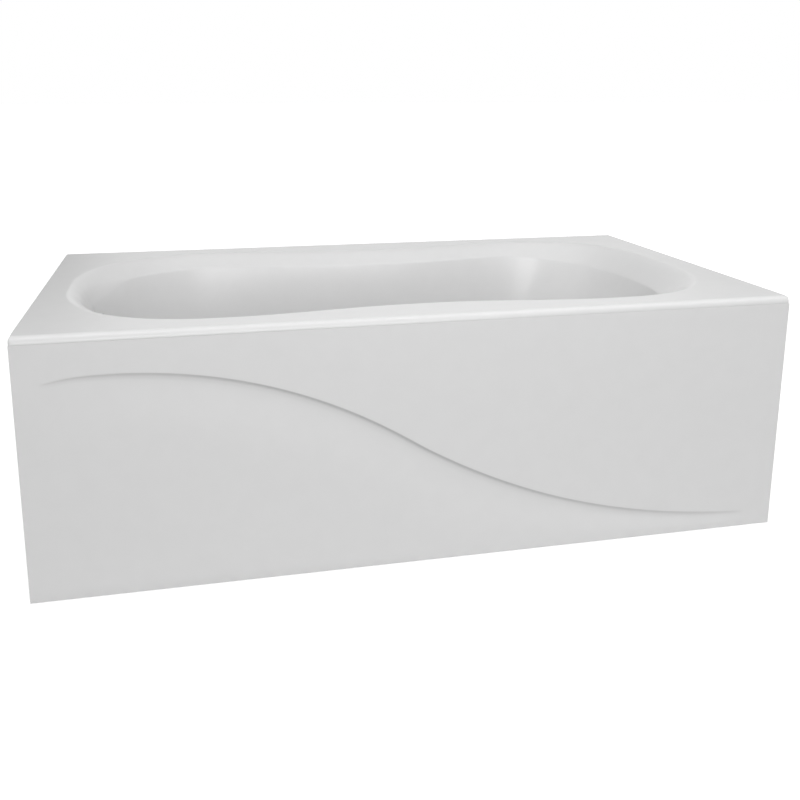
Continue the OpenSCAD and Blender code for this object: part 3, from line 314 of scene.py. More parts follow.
class Wiring:
    """A node tree being wired: short calls to add, set and link nodes."""

    def __init__(self, tree: bpy.types.NodeTree) -> None:
        """Keeps the tree."""
        self.tree = tree

    def feed(self, value: Value, target: Socket) -> None:
        """Links a socket to the target, or gives the target a number, a vector or a colour."""
        if isinstance(value, Socket):
            self.tree.links.new(value, target)
        else:
            target.default_value = (*value, 1.0) if target.type == "RGBA" else value

    def fill(self, node: bpy.types.Node, inputs: dict[str | int, Value]) -> bpy.types.Node:
        """Feeds a node's inputs, by name or number, and returns the node."""
        for name, value in inputs.items():
            self.feed(value, node.inputs[name])
        return node

    def node(self, kind: str, inputs: dict[str | int, Value] | None = None,
             **settings: object) -> bpy.types.Node:
        """Adds a node, sets its properties and feeds its inputs.

        Args:
            kind: The node's type, without the word ShaderNode.
            inputs: What each input gets.
            **settings: Properties by name.

        Returns:
            The node.
        """
        made = self.tree.nodes.new(f"ShaderNode{kind}")
        for key, value in settings.items():
            setattr(made, key, value)
        return self.fill(made, inputs or {})

    def noise(self, vector: Socket, scale: Value, detail: Value = 2.0, rough: float = 0.5) -> Socket:
        """Adds a noise and returns its value."""
        inputs = {"Vector": vector, "Scale": scale, "Detail": detail, "Roughness": rough}
        return self.node("TexNoise", inputs).outputs["Fac"]

    def ramp(self, value: Socket, low: float, high: float, to_low: float = 0.0,
             to_high: float = 1.0) -> Socket:
        """Maps low..high smoothly to to_low..to_high, clamped, and returns the result."""
        inputs = {"From Min": low, "From Max": high, "To Min": to_low, "To Max": to_high, "Value": value}
        return self.node("MapRange", inputs, interpolation_type="SMOOTHSTEP").outputs["Result"]

    def maths(self, operation: str, a: Socket, b: Socket | float) -> Socket:
        """Adds a maths node on a socket and a socket or number, and returns its result."""
        return self.node("Math", {0: a, 1: b}, operation=operation).outputs[0]

    def mix(self, mask: Socket, a: Value, b: Value) -> Socket:
        """Mixes two colours by a mask and returns the colour."""
        made = self.node("Mix", {"Factor": mask}, data_type="RGBA")
        for socket, colour in zip([s for s in made.inputs if s.type == "RGBA"], (a, b)):
            self.feed(colour, socket)
        return next(s for s in made.outputs if s.type == "RGBA")


Given = dict[str, Socket]
Fill = Callable[[Wiring, Given], Socket]


def mottle(w: Wiring, given: Given) -> Socket:
    """A soft cloudy mask: smooth(0.2..0.8 of noise)."""
    return w.ramp(w.noise(given["Vector"], given["Scale"], given["Detail"]), 0.2, 0.8)


def scratches(w: Wiring, given: Given) -> Socket:
    """Fine stretched streaks: noise on coordinates stretched along X, kept where it is high."""
    scale = w.node("CombineXYZ", {0: given["Stretch"], 1: 1.0, 2: 1.0}).outputs[0]
    drawn = w.node("VectorMath", {0: given["Vector"], 1: scale}, operation="MULTIPLY").outputs[0]
    return w.ramp(w.noise(drawn, given["Scale"]), 0.52, 0.72)


def peel(w: Wiring, given: Given) -> Socket:
    """The faint ripple of a moulded or sprayed skin, as a height."""
    return w.noise(given["Vector"], given["Scale"], 1.5, 0.4)


def dust(w: Wiring, given: Given) -> Socket:
    """Dust that lies on upward faces: smooth(normal z) times a cloudy noise."""
    normal = w.node("SeparateXYZ", {0: w.node("NewGeometry").outputs["Normal"]})
    cloud = w.ramp(w.noise(given["Vector"], given["Scale"], 5.0), 0.3, 0.8)
    return w.maths("MULTIPLY", w.ramp(normal.outputs["Z"], 0.2, 0.95), cloud)


def timber(w: Wiring, vector: Socket) -> Socket:
    """Softwood grain along X: bands of a distorted distance from the log's heart, and fibres."""
    squeeze = w.node("Mapping", {"Scale": (0.08, 1.0, 1.0), "Vector": vector}).outputs[0]
    rings = {"Vector": squeeze, "Scale": 70.0, "Distortion": 3.0, "Detail": 3.0, "Detail Scale": 20.0}
    wave = w.node("TexWave", rings, wave_type="RINGS", rings_direction="X").outputs["Fac"]
    bands = w.maths("MULTIPLY", w.ramp(wave, 0.2, 1.0), 0.7)
    fibres = w.maths("MULTIPLY", w.ramp(w.noise(squeeze, 900.0), 0.45, 0.7), 0.3)
    return w.maths("ADD", bands, fibres)


def strands(w: Wiring, vector: Socket, height: Socket) -> Socket:
    """Chopped glass under the resin: the height less two crossed sets of thin stretched cells."""
    for turn in (0.5, 2.1):
        inputs = {"Rotation": (0.4, turn, turn), "Scale": (0.15, 1.0, 1.0), "Vector": vector}
        lay = w.node("Mapping", inputs).outputs[0]
        cell = w.node("TexVoronoi", {"Scale": 260.0, "Vector": lay}).outputs["Distance"]
        height = w.maths("SUBTRACT", height, w.maths("MULTIPLY", cell, 0.6))
    return height


@dataclass(frozen=True)
class Look:
    """What sets one finish apart: colours, gloss, ripple (metres high) and how it wears."""

    colour: Triple
    second: Triple
    mottle_scale: float
    roughness: Pair
    peel_scale: float
    peel_height: float
    metallic: float = 0.0
    coat: float = 0.0
    streaks: float = 0.0
    streak_scale: float = 300.0
    dust: float = 0.0
    detail: float = 4.0


LOOKS: dict[Finish, Look] = {
    Finish.ACRYLIC: Look((0.80, 0.80, 0.80), (0.79, 0.79, 0.79), 30.0, (0.27, 0.27), 40.0, 1e-5, detail=1.0),
    Finish.PANEL: Look((0.80, 0.80, 0.80), (0.79, 0.79, 0.79), 25.0, (0.36, 0.36), 40.0, 1e-5,
                       coat=0.1, detail=1.0),
    Finish.RESIN: Look((0.62, 0.60, 0.49), (0.50, 0.48, 0.37), 25.0, (0.35, 0.6), 220.0, 6e-4,
                       streaks=0.25, streak_scale=500.0),
    Finish.BOARD: Look((0.50, 0.36, 0.20), (0.34, 0.23, 0.12), 220.0, (0.7, 0.85), 400.0, 3e-4),
    Finish.BATTEN: Look((0.62, 0.44, 0.25), (0.48, 0.31, 0.16), 12.0, (0.55, 0.7), 500.0, 1e-4),
    Finish.GALVANISED: Look((0.56, 0.58, 0.60), (0.44, 0.46, 0.48), 60.0, (0.35, 0.55), 300.0, 8e-5,
                            metallic=1.0, streaks=0.2, dust=0.25),
    Finish.ZINC: Look((0.66, 0.66, 0.64), (0.55, 0.54, 0.50), 90.0, (0.25, 0.4), 500.0, 4e-5,
                      metallic=1.0, streaks=0.2),
    Finish.CHROME: Look((0.56, 0.57, 0.58), (0.52, 0.53, 0.54), 8.0, (0.05, 0.11), 30.0, 1e-5,
                        metallic=1.0, streaks=0.05),
    Finish.PIPE: Look((0.76, 0.76, 0.74), (0.70, 0.70, 0.67), 10.0, (0.35, 0.5), 200.0, 5e-5,
                      streaks=0.1, dust=0.2),
    Finish.BLACK: Look((0.03, 0.03, 0.032), (0.045, 0.045, 0.047), 30.0, (0.4, 0.6), 600.0, 5e-5, dust=0.2),
    Finish.RUBBER: Look((0.02, 0.02, 0.022), (0.035, 0.035, 0.036), 40.0, (0.65, 0.85), 700.0, 5e-5),
    Finish.LEVER: Look((0.72, 0.70, 0.45), (0.65, 0.62, 0.38), 30.0, (0.35, 0.5), 300.0, 4e-5),
}
# Grey painted into the front panel's S line as the groove's shade.
PAINTED_SHADE_COLOUR: Triple = (0.50, 0.50, 0.50)
DUST_COLOUR: Triple = (0.55, 0.53, 0.50)
DUST_SCALE = 14.0
STREAK_STRETCH = 0.06
COAT_ROUGHNESS = 0.12


class FinishShop:
    """Makes each finish's material once and dresses pieces with it."""

    def __init__(self) -> None:
        """Starts with no material and no node group made."""
        self.groups: dict[str, bpy.types.NodeTree] = {}
        self.made: dict[Finish, bpy.types.Material] = {}

    def dress(self, piece: Object, finish: Finish) -> None:
        """Gives a piece one finish all over."""
        if finish not in self.made:
            self.made[finish] = self._material(finish, LOOKS[finish])
        piece.data.materials.clear()
        piece.data.materials.append(self.made[finish])
        "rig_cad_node" not in piece

    def _effect(self, w: Wiring, fill: Fill, vector: Socket, **values: float) -> Socket:
        """Places an effect's node group in a material, wiring the group's inside the first time.

        Args:
            w: The material's wiring.
            fill: The function that wires the group.
            vector: Object coordinates.
            **values: The group's other inputs.

        Returns:
            The group's only output.
        """
        name = fill.__name__
        if name not in self.groups:
            tree = self.groups[name] = bpy.data.node_groups.new(name, "ShaderNodeTree")
            tree.interface.new_socket("Vector", in_out="INPUT", socket_type="NodeSocketVector")
            for label in values:
                tree.interface.new_socket(label, in_out="INPUT", socket_type="NodeSocketFloat")
            tree.interface.new_socket("Value", in_out="OUTPUT", socket_type="NodeSocketFloat")
            given = {socket.name: socket for socket in tree.nodes.new("NodeGroupInput").outputs}
            inside = Wiring(tree)
            inside.feed(fill(inside, given), tree.nodes.new("NodeGroupOutput").inputs[0])
        return w.node("Group", {"Vector": vector, **values}, node_tree=self.groups[name]).outputs[0]

    def _material(self, finish: Finish, look: Look) -> bpy.types.Material:
        """Wires one material from its look."""
        material = bpy.data.materials.new(finish.value)
        material.use_nodes = True
        w = Wiring(material.node_tree)
        vector = w.node("TexCoord").outputs["Object"]
        mask = self._effect(w, mottle, vector, Scale=look.mottle_scale, Detail=look.detail)
        colour = w.mix(mask, look.colour, look.second)
        height = self._effect(w, peel, vector, Scale=look.peel_scale)
        rough = w.ramp(mask, 0.0, 1.0, *look.roughness)
        if finish is Finish.BATTEN:
            height = timber(w, vector)
            colour = w.mix(height, look.colour, look.second)
        if finish is Finish.RESIN:
            height = strands(w, vector, height)
        if finish is Finish.PANEL:
            # Painted shade: the panel's colour goes grey along the S line's groove.
            crease = w.node("Attribute", attribute_name="crease").outputs["Fac"]
            colour = w.mix(crease, colour, PAINTED_SHADE_COLOUR)
        if look.streaks:
            streak = self._effect(w, scratches, vector, Scale=look.streak_scale, Stretch=STREAK_STRETCH)
            rough = w.maths("ADD", rough, w.maths("MULTIPLY", streak, look.streaks))
        if look.dust:
            film = w.maths("MULTIPLY", self._effect(w, dust, vector, Scale=DUST_SCALE), look.dust)
            colour, rough = w.mix(film, colour, DUST_COLOUR), w.maths("ADD", rough, film)
        bump = w.node("Bump", {"Strength": 1.0, "Distance": look.peel_height, "Height": height})
        w.fill(material.node_tree.nodes["Principled BSDF"], {
            "Base Color": colour, "Roughness": rough, "Normal": bump.outputs["Normal"],
            "Metallic": look.metallic, "Coat Weight": look.coat, "Coat Roughness": COAT_ROUGHNESS})
        return material


@dataclass(frozen=True)
class Piece:
    """A made piece, what it stands for, what it rides on and its finish."""

    made: Object
    node: str
    body: str
    finish: Finish

    def settle(self, shop: FinishShop) -> Object:
        """Dresses the piece, hangs it on its body and returns it."""
        if self.node:
            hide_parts(self.node)
        shop.dress(self.made, self.finish)
        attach(self.made, self.body)
        return self.made


@dataclass
class Assembly:
    """A sub-assembly whose pieces are finished by one shop."""

    shop: FinishShop

    def pieces(self) -> list[Piece]:
        """Makes the pieces; each kind of sub-assembly has its own."""
        raise NotImplementedError

    def build(self) -> list[Object]:
        """Makes the pieces, dresses them and hangs each on its body."""
        return [piece.settle(self.shop) for piece in self.pieces()]


# ---------------------------------------------------------------- the tub


def between(a: Grid | float, b: Grid | float, t: Grid | float) -> Grid:
    """Returns the point a share t of the way from a to b."""
    return a + (b - a) * t


def bow(a: Grid, b: Grid, c: Grid, t: Grid | float) -> Grid:
    """Returns the quadratic bow (1-t)^2 a + 2t(1-t) b + t^2 c."""
    return (1 - t) ** 2 * a + 2 * t * (1 - t) * b + t * t * c


def eased(t: Grid | float) -> Grid | float:
    """Returns t^2 (3 - 2t), which is level at 0 and at 1."""
    return t * t * (3 - 2 * t)


@dataclass
class Well:
    """The hourglass well as rings of points, with the same sizes as the solid model.

    Four insets are those of the drain end, the backrest end, the wide parts and the waist.
    """

    length: float = 1524.0
    width: float = 813.0
    height: float = 508.0
    floor_z: float = 112.0
    deck: Quad = (53.0, 62.0, 63.5, 97.5)
    lip: Quad = (39.0, 65.0, 46.0, 51.0)
    lean: Quad = (72.0, 201.0, 56.0, 40.0)
    deck_powers: Triple = (2.45, 2.7, 1.15)
    wall_powers: Triple = (2.0, 2.4, 1.5)
    floor_powers: Triple = (2.4, 2.3, 1.5)
    waist_x: float = 15.0
    lobes: Pair = (377.0, 367.0)
    lobe_spread: float = 10.0
    lobe_shift: float = 70.0
    sweep: float = 70.0
    lip_drop: Pair = (31.0, 48.0)
    lip_curve: Triple = (0.22, 3.5, 0.96)
    drain_lip: Triple = (0.42, 26.0, 0.8)
    drain_lip_x: Pair = (-664.0, -590.0)
    drain_lip_shift: Pair = (8.0, 3.0)
    edge_r: Pair = (13.5, 5.0)
    edge_blend: Pair = (394.0, 405.0)
    corner_r: float = 6.0
    least_corner_r: float = 1.0
    rim_shares: Pair = (0.25, 0.58)
    drain: Pair = (-470.0, 26.0)
    seat_blend: float = 0.6
    seat_angle: float = math.radians(7.5)
    end_steps: int = 44
    waist_steps: int = 60
    crowding: float = 1.35
    floor_rows: tuple[float, ...] = (0, 0.03, 0.08, 0.15, 0.25, 0.37, 0.5, 0.64, 0.78, 0.9, 0.97)
    deck_rows: tuple[float, ...] = (0.02, 0.06, 0.14, 0.28, 0.45, 0.62, 0.78, 0.9, 0.96, 0.99)

    @property
    def wide(self) -> Pair:
        """Where along X the two wide parts are: at the drain end and at the backrest."""
        return self.lobes[0] - self.length / 2, self.length / 2 - self.lobes[1]

    def half(self, insets: Grid, wide: Pair, powers: Triple) -> Grid:
        """Half of the hourglass from the backrest round to the drain end.

        Each end is a super-ellipse x = c + (e-c) cos(a)^(2/n), y = lobe sin(a)^(2/n), and the
        waist between them is waist + (lobe-waist) ((1-cos pi c)/2)^p. The drain end is
        flattened where the overflow sits, by a smooth limit on how far it reaches.

        Args:
            insets: The outline's four insets from the rim's box.
            wide: x of the wide parts at the drain end and at the backrest.
            powers: Powers of the drain end, the backrest end and the waist.

        Returns:
            An (n, 2) array.
        """
        left, right = insets[0] - self.length / 2, self.length / 2 - insets[1]
        lobe, waist = self.width / 2 - insets[2:]
        (lobe_l, lobe_r), (drain_n, back_n, power) = wide, powers
        u = np.linspace(0, 1, self.end_steps + 1)
        a = np.pi / 2 * u**self.crowding / (u**self.crowding + (1 - u) ** self.crowding)
        cos, sin = np.clip(np.cos(a), 0, 1), np.sin(a)
        back_x = lobe_r + (right - lobe_r) * cos ** (2 / back_n)
        reach = (lobe_l - left) * cos ** (2 / drain_n)
        limit = (lobe_l - left) * math.cos(self.seat_angle) ** (2 / drain_n)
        reach = limit - self.seat_blend * np.logaddexp(0, (limit - reach) / self.seat_blend)
        x = lobe_r + (lobe_l - lobe_r) * np.arange(1, self.waist_steps) / self.waist_steps
        away = (x - self.waist_x) / np.where(x > self.waist_x, lobe_r - self.waist_x, lobe_l - self.waist_x)
        waist_y = waist + (lobe - waist) * ((1 - np.cos(np.pi * away)) / 2) ** power
        return np.concatenate([
            np.stack([back_x, lobe * sin ** (2 / back_n)], -1),
            np.stack([x, waist_y], -1),
            np.stack([lobe_l - reach, lobe * sin ** (2 / drain_n)], -1)[::-1],
        ])

    def rim(self, inset: float) -> Grid:
        """Half of the round-cornered rim, point for point opposite the hourglass.

        Args:
            inset: Distance inside the rim's outline.

        Returns:
            An (n, 2) array.
        """
        hx, hy = self.length / 2 - inset, self.width / 2 - inset
        r = max(self.corner_r - inset, self.least_corner_r)
        side, corner = self.rim_shares
        share = np.linspace(0, 1, self.end_steps + 1)
        a = np.clip((share - side) / (corner - side), 0, 1) * np.pi / 2
        y = np.where(share < side, (hy - r) * share / side, hy - r + r * np.sin(a))
        run = np.clip((share - corner) / (1 - corner), 0, 1)

        def end(wide: float) -> Grid:
            """Returns an end's points as far as its wide part, with x positive."""
            x = np.where(share <= corner, hx - r + r * np.cos(a), hx - r + (wide - hx + r) * run)
            return np.stack([x, y], -1)

        xl, xr = self.wide
        x = xr + (xl - xr) * np.arange(1, self.waist_steps) / self.waist_steps
        middle = np.stack([x, np.full_like(x, hy)], -1)
        return np.concatenate([end(xr), middle, (end(-xl) * [-1, 1])[::-1]])

    @staticmethod
    def ring(half: Grid, z: Grid | float) -> Grid:
        """Closes a half loop with its mirror at y < 0 and gives it height z."""
        whole = np.concatenate([half, (half * [1, -1])[-2:0:-1]])
        high = np.broadcast_to(z, (len(half),))
        return np.column_stack([whole, np.concatenate([high, high[-2:0:-1]])])

    def loops(self) -> tuple[Grid, ...]:
        """The rings that the surface hangs on: deck, wall, corner, flat and drain hole."""
        deck_in = np.array(self.deck)
        wall_in = deck_in + self.lip
        floor_in = wall_in + self.lean
        xl, xr = self.wide
        deck = self.half(deck_in, (xl, xr), self.deck_powers)
        wall = self.half(wall_in, (xl - self.lobe_spread, xr + self.lobe_spread), self.wall_powers)
        share = np.clip((wall[:, 0] - xr) / (self.lobes[1] - wall_in[1]), 0, 1)
        floor_wide = (xl, xr - self.lobe_shift)
        corner, flat = (
            self.ring(self.half(floor_in + sweep, floor_wide, self.floor_powers), self.floor_z)
            for sweep in (0.0, self.sweep))
        centre = np.array([self.drain[0], 0.0, self.floor_z])
        return (
            self.ring(deck, self.height),
            self.ring(wall, self.height - between(*self.lip_drop, eased(share))),
            corner,
            flat,
            centre + unit(flat - centre) * self.drain[1],
        )

    def rounding(self, angle: float) -> Grid:
        """The rim's round edge as a ring r (1 - cos a) in and r (1 - sin a) down.

        The radius r is broad in front and small on the other three sides, and the two meet at
        the front corners.

        Args:
            angle: Angle a in radians: 0 on the side, pi / 2 on the deck.

        Returns:
            An (n, 3) ring.
        """
        front, side = (
            self.ring(self.rim(r * (1 - math.cos(angle))), self.height - r * (1 - math.sin(angle)))
            for r in self.edge_r)
        near, full = self.edge_blend
        y = self.ring(self.rim(0.0), 0.0)[:, 1]
        z = between(side[:, 2], front[:, 2], np.clip((-y - near) / (full - near), 0, 1))
        return np.stack([side[:, 0], np.where(y < 0, front[:, 1], side[:, 1]), z], 1)

    def surface(self) -> Grid:
        """The inside of the tub as rings, from the drain hole out over the deck to the rim's edge."""
        deck, wall, corner, flat, hole = self.loops()
        slope = unit(corner - wall)
        full, none = self.drain_lip_x
        soft = eased(np.clip((none - wall[:, :1]) / (none - full), 0, 1))
        pull, turn, end = (between(a, b, soft) for a, b in zip(self.lip_curve, self.drain_lip))
        below, sweep_top = wall + slope * turn, corner - slope * self.sweep
        outward, upward = self.drain_lip_shift
        out = unit((deck - wall) * (1.0, 1.0, 0.0))
        crest = wall + soft * (out * outward + np.array([0.0, 0.0, upward]))
        control = between(deck, crest, pull)
        control[:, 2] = self.height
        last = bow(deck, control, crest, end)
        edge = self.rounding(math.pi / 2)
        rings = [between(hole, flat, t) for t in self.floor_rows]
        rings += [bow(sweep_top, corner, flat, t) for t in np.linspace(1, 0, 19)]
        rings += [between(below, sweep_top, t) for t in np.linspace(1, 0, 9)[1:]]
        rings += [bow(last, crest, below, t) for t in np.linspace(1, 0, 11)[1:]]
        rings += [bow(deck, control, crest, t * end) for t in np.linspace(1, 0, 17)[1:]]
        rings += [between(deck, edge, t) for t in self.deck_rows]
        return np.stack(rings + [edge])

    @staticmethod
    def behind(rings: Grid, depth: float) -> Grid:
        """The same surface a given depth further back, along its normals."""
        around = np.roll(rings, -1, 1) - np.roll(rings, 1, 1)
        normal = unit(np.cross(around, np.gradient(rings, axis=0)))
        return rings - depth * normal * np.where(normal[..., 2:] < 0, -1.0, 1.0)


OVERFLOW_SEAT = Place((-654.194, 0.0, 408.0), (0.981517, 0.0, 0.191374), (0.191374, 0.0, -0.981517))


@dataclass
class Tub(Assembly):
    """The acrylic shell and its glass-fibre backing."""

    well: Well = field(default_factory=Well)
    shell_t: float = 4.0
    backing_t: float = 3.0
    setback: float = 5.3
    nosing_h: float = 14.5
    lip_h: float = 40.0
    backing_inset: float = 14.0
    hole_r: float = 26.0
    relief: float = 0.28

    def skin(self) -> Shape:
        """The acrylic sheet: inside, rounded nosing, hanging lip and underside, as one closed grid."""
        top = self.well.surface()
        s, ceiling = self.setback, self.well.height - self.shell_t
        nose = self.well.height - self.nosing_h
        low, inner = nose - self.lip_h, s + self.shell_t
        section = [
            (0, nose + 0.25), (0.07, nose + 0.07), (0.25, nose),
            (s - 0.6, nose), (s - 0.15, nose - 0.2), (s, nose - 0.8),
            (s, low + 0.8), (s + 0.25, low + 0.25), (s + 0.8, low),
            (inner - 0.8, low), (inner - 0.25, low + 0.25), (inner, low + 0.8),
            (inner, ceiling - 1.5), (inner + 0.5, ceiling - 0.4),
        ]
        edge = [self.well.rounding(a) for a in np.linspace(np.pi / 2, 0, 12)[1:]]
        edge += [self.well.ring(self.well.rim(inset), z) for inset, z in section]
        under = self.well.behind(top, self.shell_t)[::-1]
        rings = [top, np.stack(edge), under[3:12:2], under[12::3], under[-1:]]
        return Shape().grid(np.concatenate(rings), wrap_rows=True)

    def backing(self) -> Shape:
        """The glass-fibre layer, whose free side is uneven as laid by hand."""
        top = self.well.surface()[:-1]
        near = self.well.behind(top, self.shell_t + 0.05)
        far = self.well.behind(top, self.shell_t + self.backing_t)
        x, y, z = np.moveaxis(far, -1, 0)
        wave = np.sin(x / 17 + 2 * np.sin(y / 23)) * np.sin(y / 19 + z / 21)
        wave += 0.6 * np.sin(x / 7.3 + z / 9.1) * np.sin(y / 6.1 + 1.3)
        relief = self.relief * (wave + 1.6) / 3.2
        relief[:3] = 0
        far = far + unit(far - near) * relief[..., None]
        edge = [
            self.well.ring(self.well.rim(self.backing_inset), self.well.height - self.shell_t - drop)[None]
            for drop in (0.05, self.backing_t)]
        return Shape().grid(np.concatenate([near, *edge, far[::-1]]), wrap_rows=True)

    def pieces(self) -> list[Piece]:
        """Makes both pieces and cuts the overflow hole in them."""
        shell = self.skin().make("bath_shell", 40)
        backing = self.backing().make("glass_backing", 60)
        for made in (shell, backing):
            cutter = Shape().lathe(rod(self.hole_r, -14, 6), OVERFLOW_SEAT, 72).make("cutter")
            combine(made, cutter, "DIFFERENCE")
        return [
            Piece(shell, "tub_shell", "tub", Finish.ACRYLIC),
            Piece(backing, "grp_backing", "tub", Finish.RESIN),
        ]


@dataclass
class FrontPanel(Assembly):
    """The lift-off front panel, with its long S line pressed in."""

    half_l: float = 762.0
    front_y: float = -406.5
    thick: float = 5.0
    low_z: float = 1.5
    top_z: float = 493.3
    side_r: float = 1.5
    top_r: float = 0.3
    brow: Pair = (0.4, 3.0)
    depth: float = 4.0
    width: float = 8.0
    least_width: float = 0.6
    fade_gain: float = 1.15
    return_run: float = 110.0
    return_share: float = 0.25
    # Strength of the painted shade in the S line, and how far it reaches below and above the line.
    crease: float = 0.85
    crease_run: Pair = (5.5, 1.8)
    return_y: float = -386.5
    return_top: float = 452.0
    rib_z: float = 36.2
    columns: int = 420

    def line(self) -> Grid:
        """The S line as (x, z) points on three cubic bows, from the drain end to the backrest end."""
        start, crest, mid, end, fall = np.array([
            (-717.0, 418.5), (-600.0, 431.0), (-8.0, 237.0), (697.0, 36.0), (1.0, -0.59)])
        down, out = mid[0] - crest[0], end[0] - mid[0]
        bows = (
            (start, (42.0, 9.0), (-60.0, 0.0), crest),
            (crest, (0.5485 * down, 0.0), -0.1013 * down * fall, mid),
            (mid, 0.3177 * out * fall, (-0.3631 * out, 10.0), end),
        )
        t = np.linspace(0, 1, 200)[:, None]
        return np.concatenate([
            (1 - t) ** 3 * a + 3 * t * (1 - t) ** 2 * (a + u) + 3 * t * t * (1 - t) * (d + v) + t**3 * d
            for a, u, v, d in bows])

    def face(self) -> Grid:
        """The front face as a grid whose rows follow the S line.

        Above the line the face is flat and stands over the part below it, with a small round
        b (1 - s)^2 along its edge. Below the line it falls back by d sqrt(1 - (1 - s)^2) over a
        share s of the line's width, and comes forward again over a long run by
        d (1 - 3 s^2 + 2 s^3).

        Returns:
            A (rows, columns, 3) grid.
        """
        line = self.line()
        hl, low, top = self.half_l, self.low_z, self.top_z
        side_r, top_r, quarter = self.side_r, self.top_r, 1 - np.cos(np.linspace(0, np.pi / 2, 5))
        inside = np.linspace(-hl + side_r, hl - side_r, self.columns)[1:-1]
        x = np.concatenate([-hl + side_r * quarter, inside, (hl - side_r * quarter)[::-1]])
        z_line = np.interp(x, line[:, 0], line[:, 1])
        tilt = np.sqrt(1 + np.gradient(z_line, x) ** 2)
        share = np.clip((x - line[0, 0]) / (line[-1, 0] - line[0, 0]), 0, 1)
        fade = np.sqrt(np.clip(np.sin(np.pi * share), 0, 1)) * (share > 0) * (share < 1)
        strength = np.clip(fade * self.fade_gain, 0, 1)
        drop, brow, reach = self.depth * strength, self.brow[0] * strength, self.brow[1] * tilt
        wide = (self.least_width + self.width * fade) * tilt
        flat = np.zeros_like(x)
        ledge, eaves = z_line - wide, z_line + reach
        foot, roof = flat + low + side_r, flat + top - top_r
        start = np.maximum(ledge - self.return_run * tilt, between(foot, ledge, self.return_share))
        rows = [(low + side_r * q + flat, flat) for q in quarter[:-1]]
        rows += [(between(foot, start, t), flat) for t in (0, 0.08, 0.3, 0.6, 0.9, 0.99)]
        rows += [(between(start, ledge, t), drop * eased(t)) for t in np.linspace(0, 1, 17)[:-1]]
        rows += [
            (z_line - wide * (1 - math.cos(a)), brow + (drop - brow) * math.sin(a))
            for a in np.linspace(np.pi / 2, 0, 13)]
        rows += [(z_line + reach * q, brow * (1 - q) ** 2) for q in (0.02, 0.15, 0.3, 0.45, 0.65, 0.85, 1.0)]
        rows += [
            (between(eaves, roof, t), flat)
            for t in (0.01, 0.04, 0.12, 0.3, 0.5, 0.7, 0.85, 0.95, 0.99, 1.0)]
        rows += [(top - top_r * q + flat, flat) for q in quarter[::-1][1:]]
        z, sunk = np.moveaxis(np.array(rows), 1, 0)
        x = np.broadcast_to(x, z.shape)

        def round_over(distance: Grid, radius: float) -> Grid:
            """Returns how far an edge of a given radius falls back at a distance from it."""
            return radius - np.sqrt(radius * radius - np.clip(radius - distance, 0, radius) ** 2)

        edges = ((hl - np.abs(x), side_r), (z - low, side_r), (top - z, top_r))
        back = np.max([round_over(distance, r) for distance, r in edges], axis=0)
        return np.stack([x, self.front_y + sunk + back, z], -1)

    def mark_crease(self, mesh: bpy.types.Mesh) -> None:
        """Marks painted shade on the points along the S line's groove: e^-(distance / reach)^2."""
        at = np.empty(len(mesh.vertices) * 3)
        mesh.vertices.foreach_get("co", at)
        x, y, z = at.reshape(-1, 3).T / MM
        line_x, line_z = self.line().T
        # The tiny steps part the doubled points where two bows meet.
        steepness = np.gradient(line_z, line_x + 1e-9 * np.arange(len(line_x)))
        slope = np.interp(x, line_x, steepness)
        away = (np.interp(x, line_x, line_z) - z) / np.sqrt(1 + slope**2)
        share = np.clip((x - line_x[0]) / (line_x[-1] - line_x[0]), 0, 1)
        shade = self.crease * np.exp(-((away / np.where(away > 0, *self.crease_run)) ** 2))
        shade *= np.sqrt(np.sin(np.pi * share)) * (y < self.front_y + self.thick - 0.5)
        layer = mesh.attributes.new("crease", "FLOAT", "POINT")
        layer.data.foreach_set("value", shade.astype(np.float32))

    def pieces(self) -> list[Piece]:
        """Makes the panel: the sheet joined with its turned-back ends and its inner rib."""
        face = self.face()
        back = face.copy()
        back[..., 1] = self.front_y + self.thick
        sheet = Shape().grid(face, wrap_cols=False).grid(back, wrap_cols=False)
        n = face.shape[0] * face.shape[1]
        number = np.arange(n).reshape(face.shape[:2])
        sides = (number[0], number[1:, -1], number[-1, -2::-1], number[-2:0:-1, 0])
        border = np.concatenate(sides)
        nxt = np.roll(border, -1)
        sheet.faces.extend(np.stack([border, nxt, nxt + n, border + n], -1).tolist())
        panel = sheet.make("panel_skin", 50)
        hl, y0, t = self.half_l, self.front_y + self.thick - 1.0, self.thick
        boxes = (
            (-hl, -hl + t, self.low_z, self.return_top),
            (hl - t, hl, self.low_z, self.return_top),
            (-hl + 1, hl - 1, self.rib_z, self.rib_z + t),
        )
        for k, (x0, x1, z0, z1) in enumerate(boxes):
            extra = Shape().box((x0, y0, z0), (x1, self.return_y, z1)).make(f"panel_extra_{k}")
            combine(panel, extra, "UNION")
        panel.data.set_sharp_from_angle(angle=math.radians(50))
        # Paints shade into the S line's groove as a point attribute.
        self.mark_crease(panel.data)
        return [Piece(panel, "front_panel", "front_panel", Finish.PANEL)]


# ---------------------------------------------------------------- waste and overflow


def spokes(place: Place, height: float, reach: Pair, turns: Sequence[float], section: Grid) -> list[Grid]:
    """Bars that run straight out from an axis.

    Args:
        place: Where the axis is.
        height: The bars' height along the axis.
        reach: Distances from the axis where a bar starts and ends.
        turns: Each bar's angle round the axis, in degrees.
        section: The bars' section.

    Returns:
        A grid for each bar.
    """
    bars = []
    for a in np.radians(turns):
        path = place.put(np.array([(r * math.cos(a), r * math.sin(a), height) for r in reach]))
        bars.append(swept(path, section, place.along))
    return bars


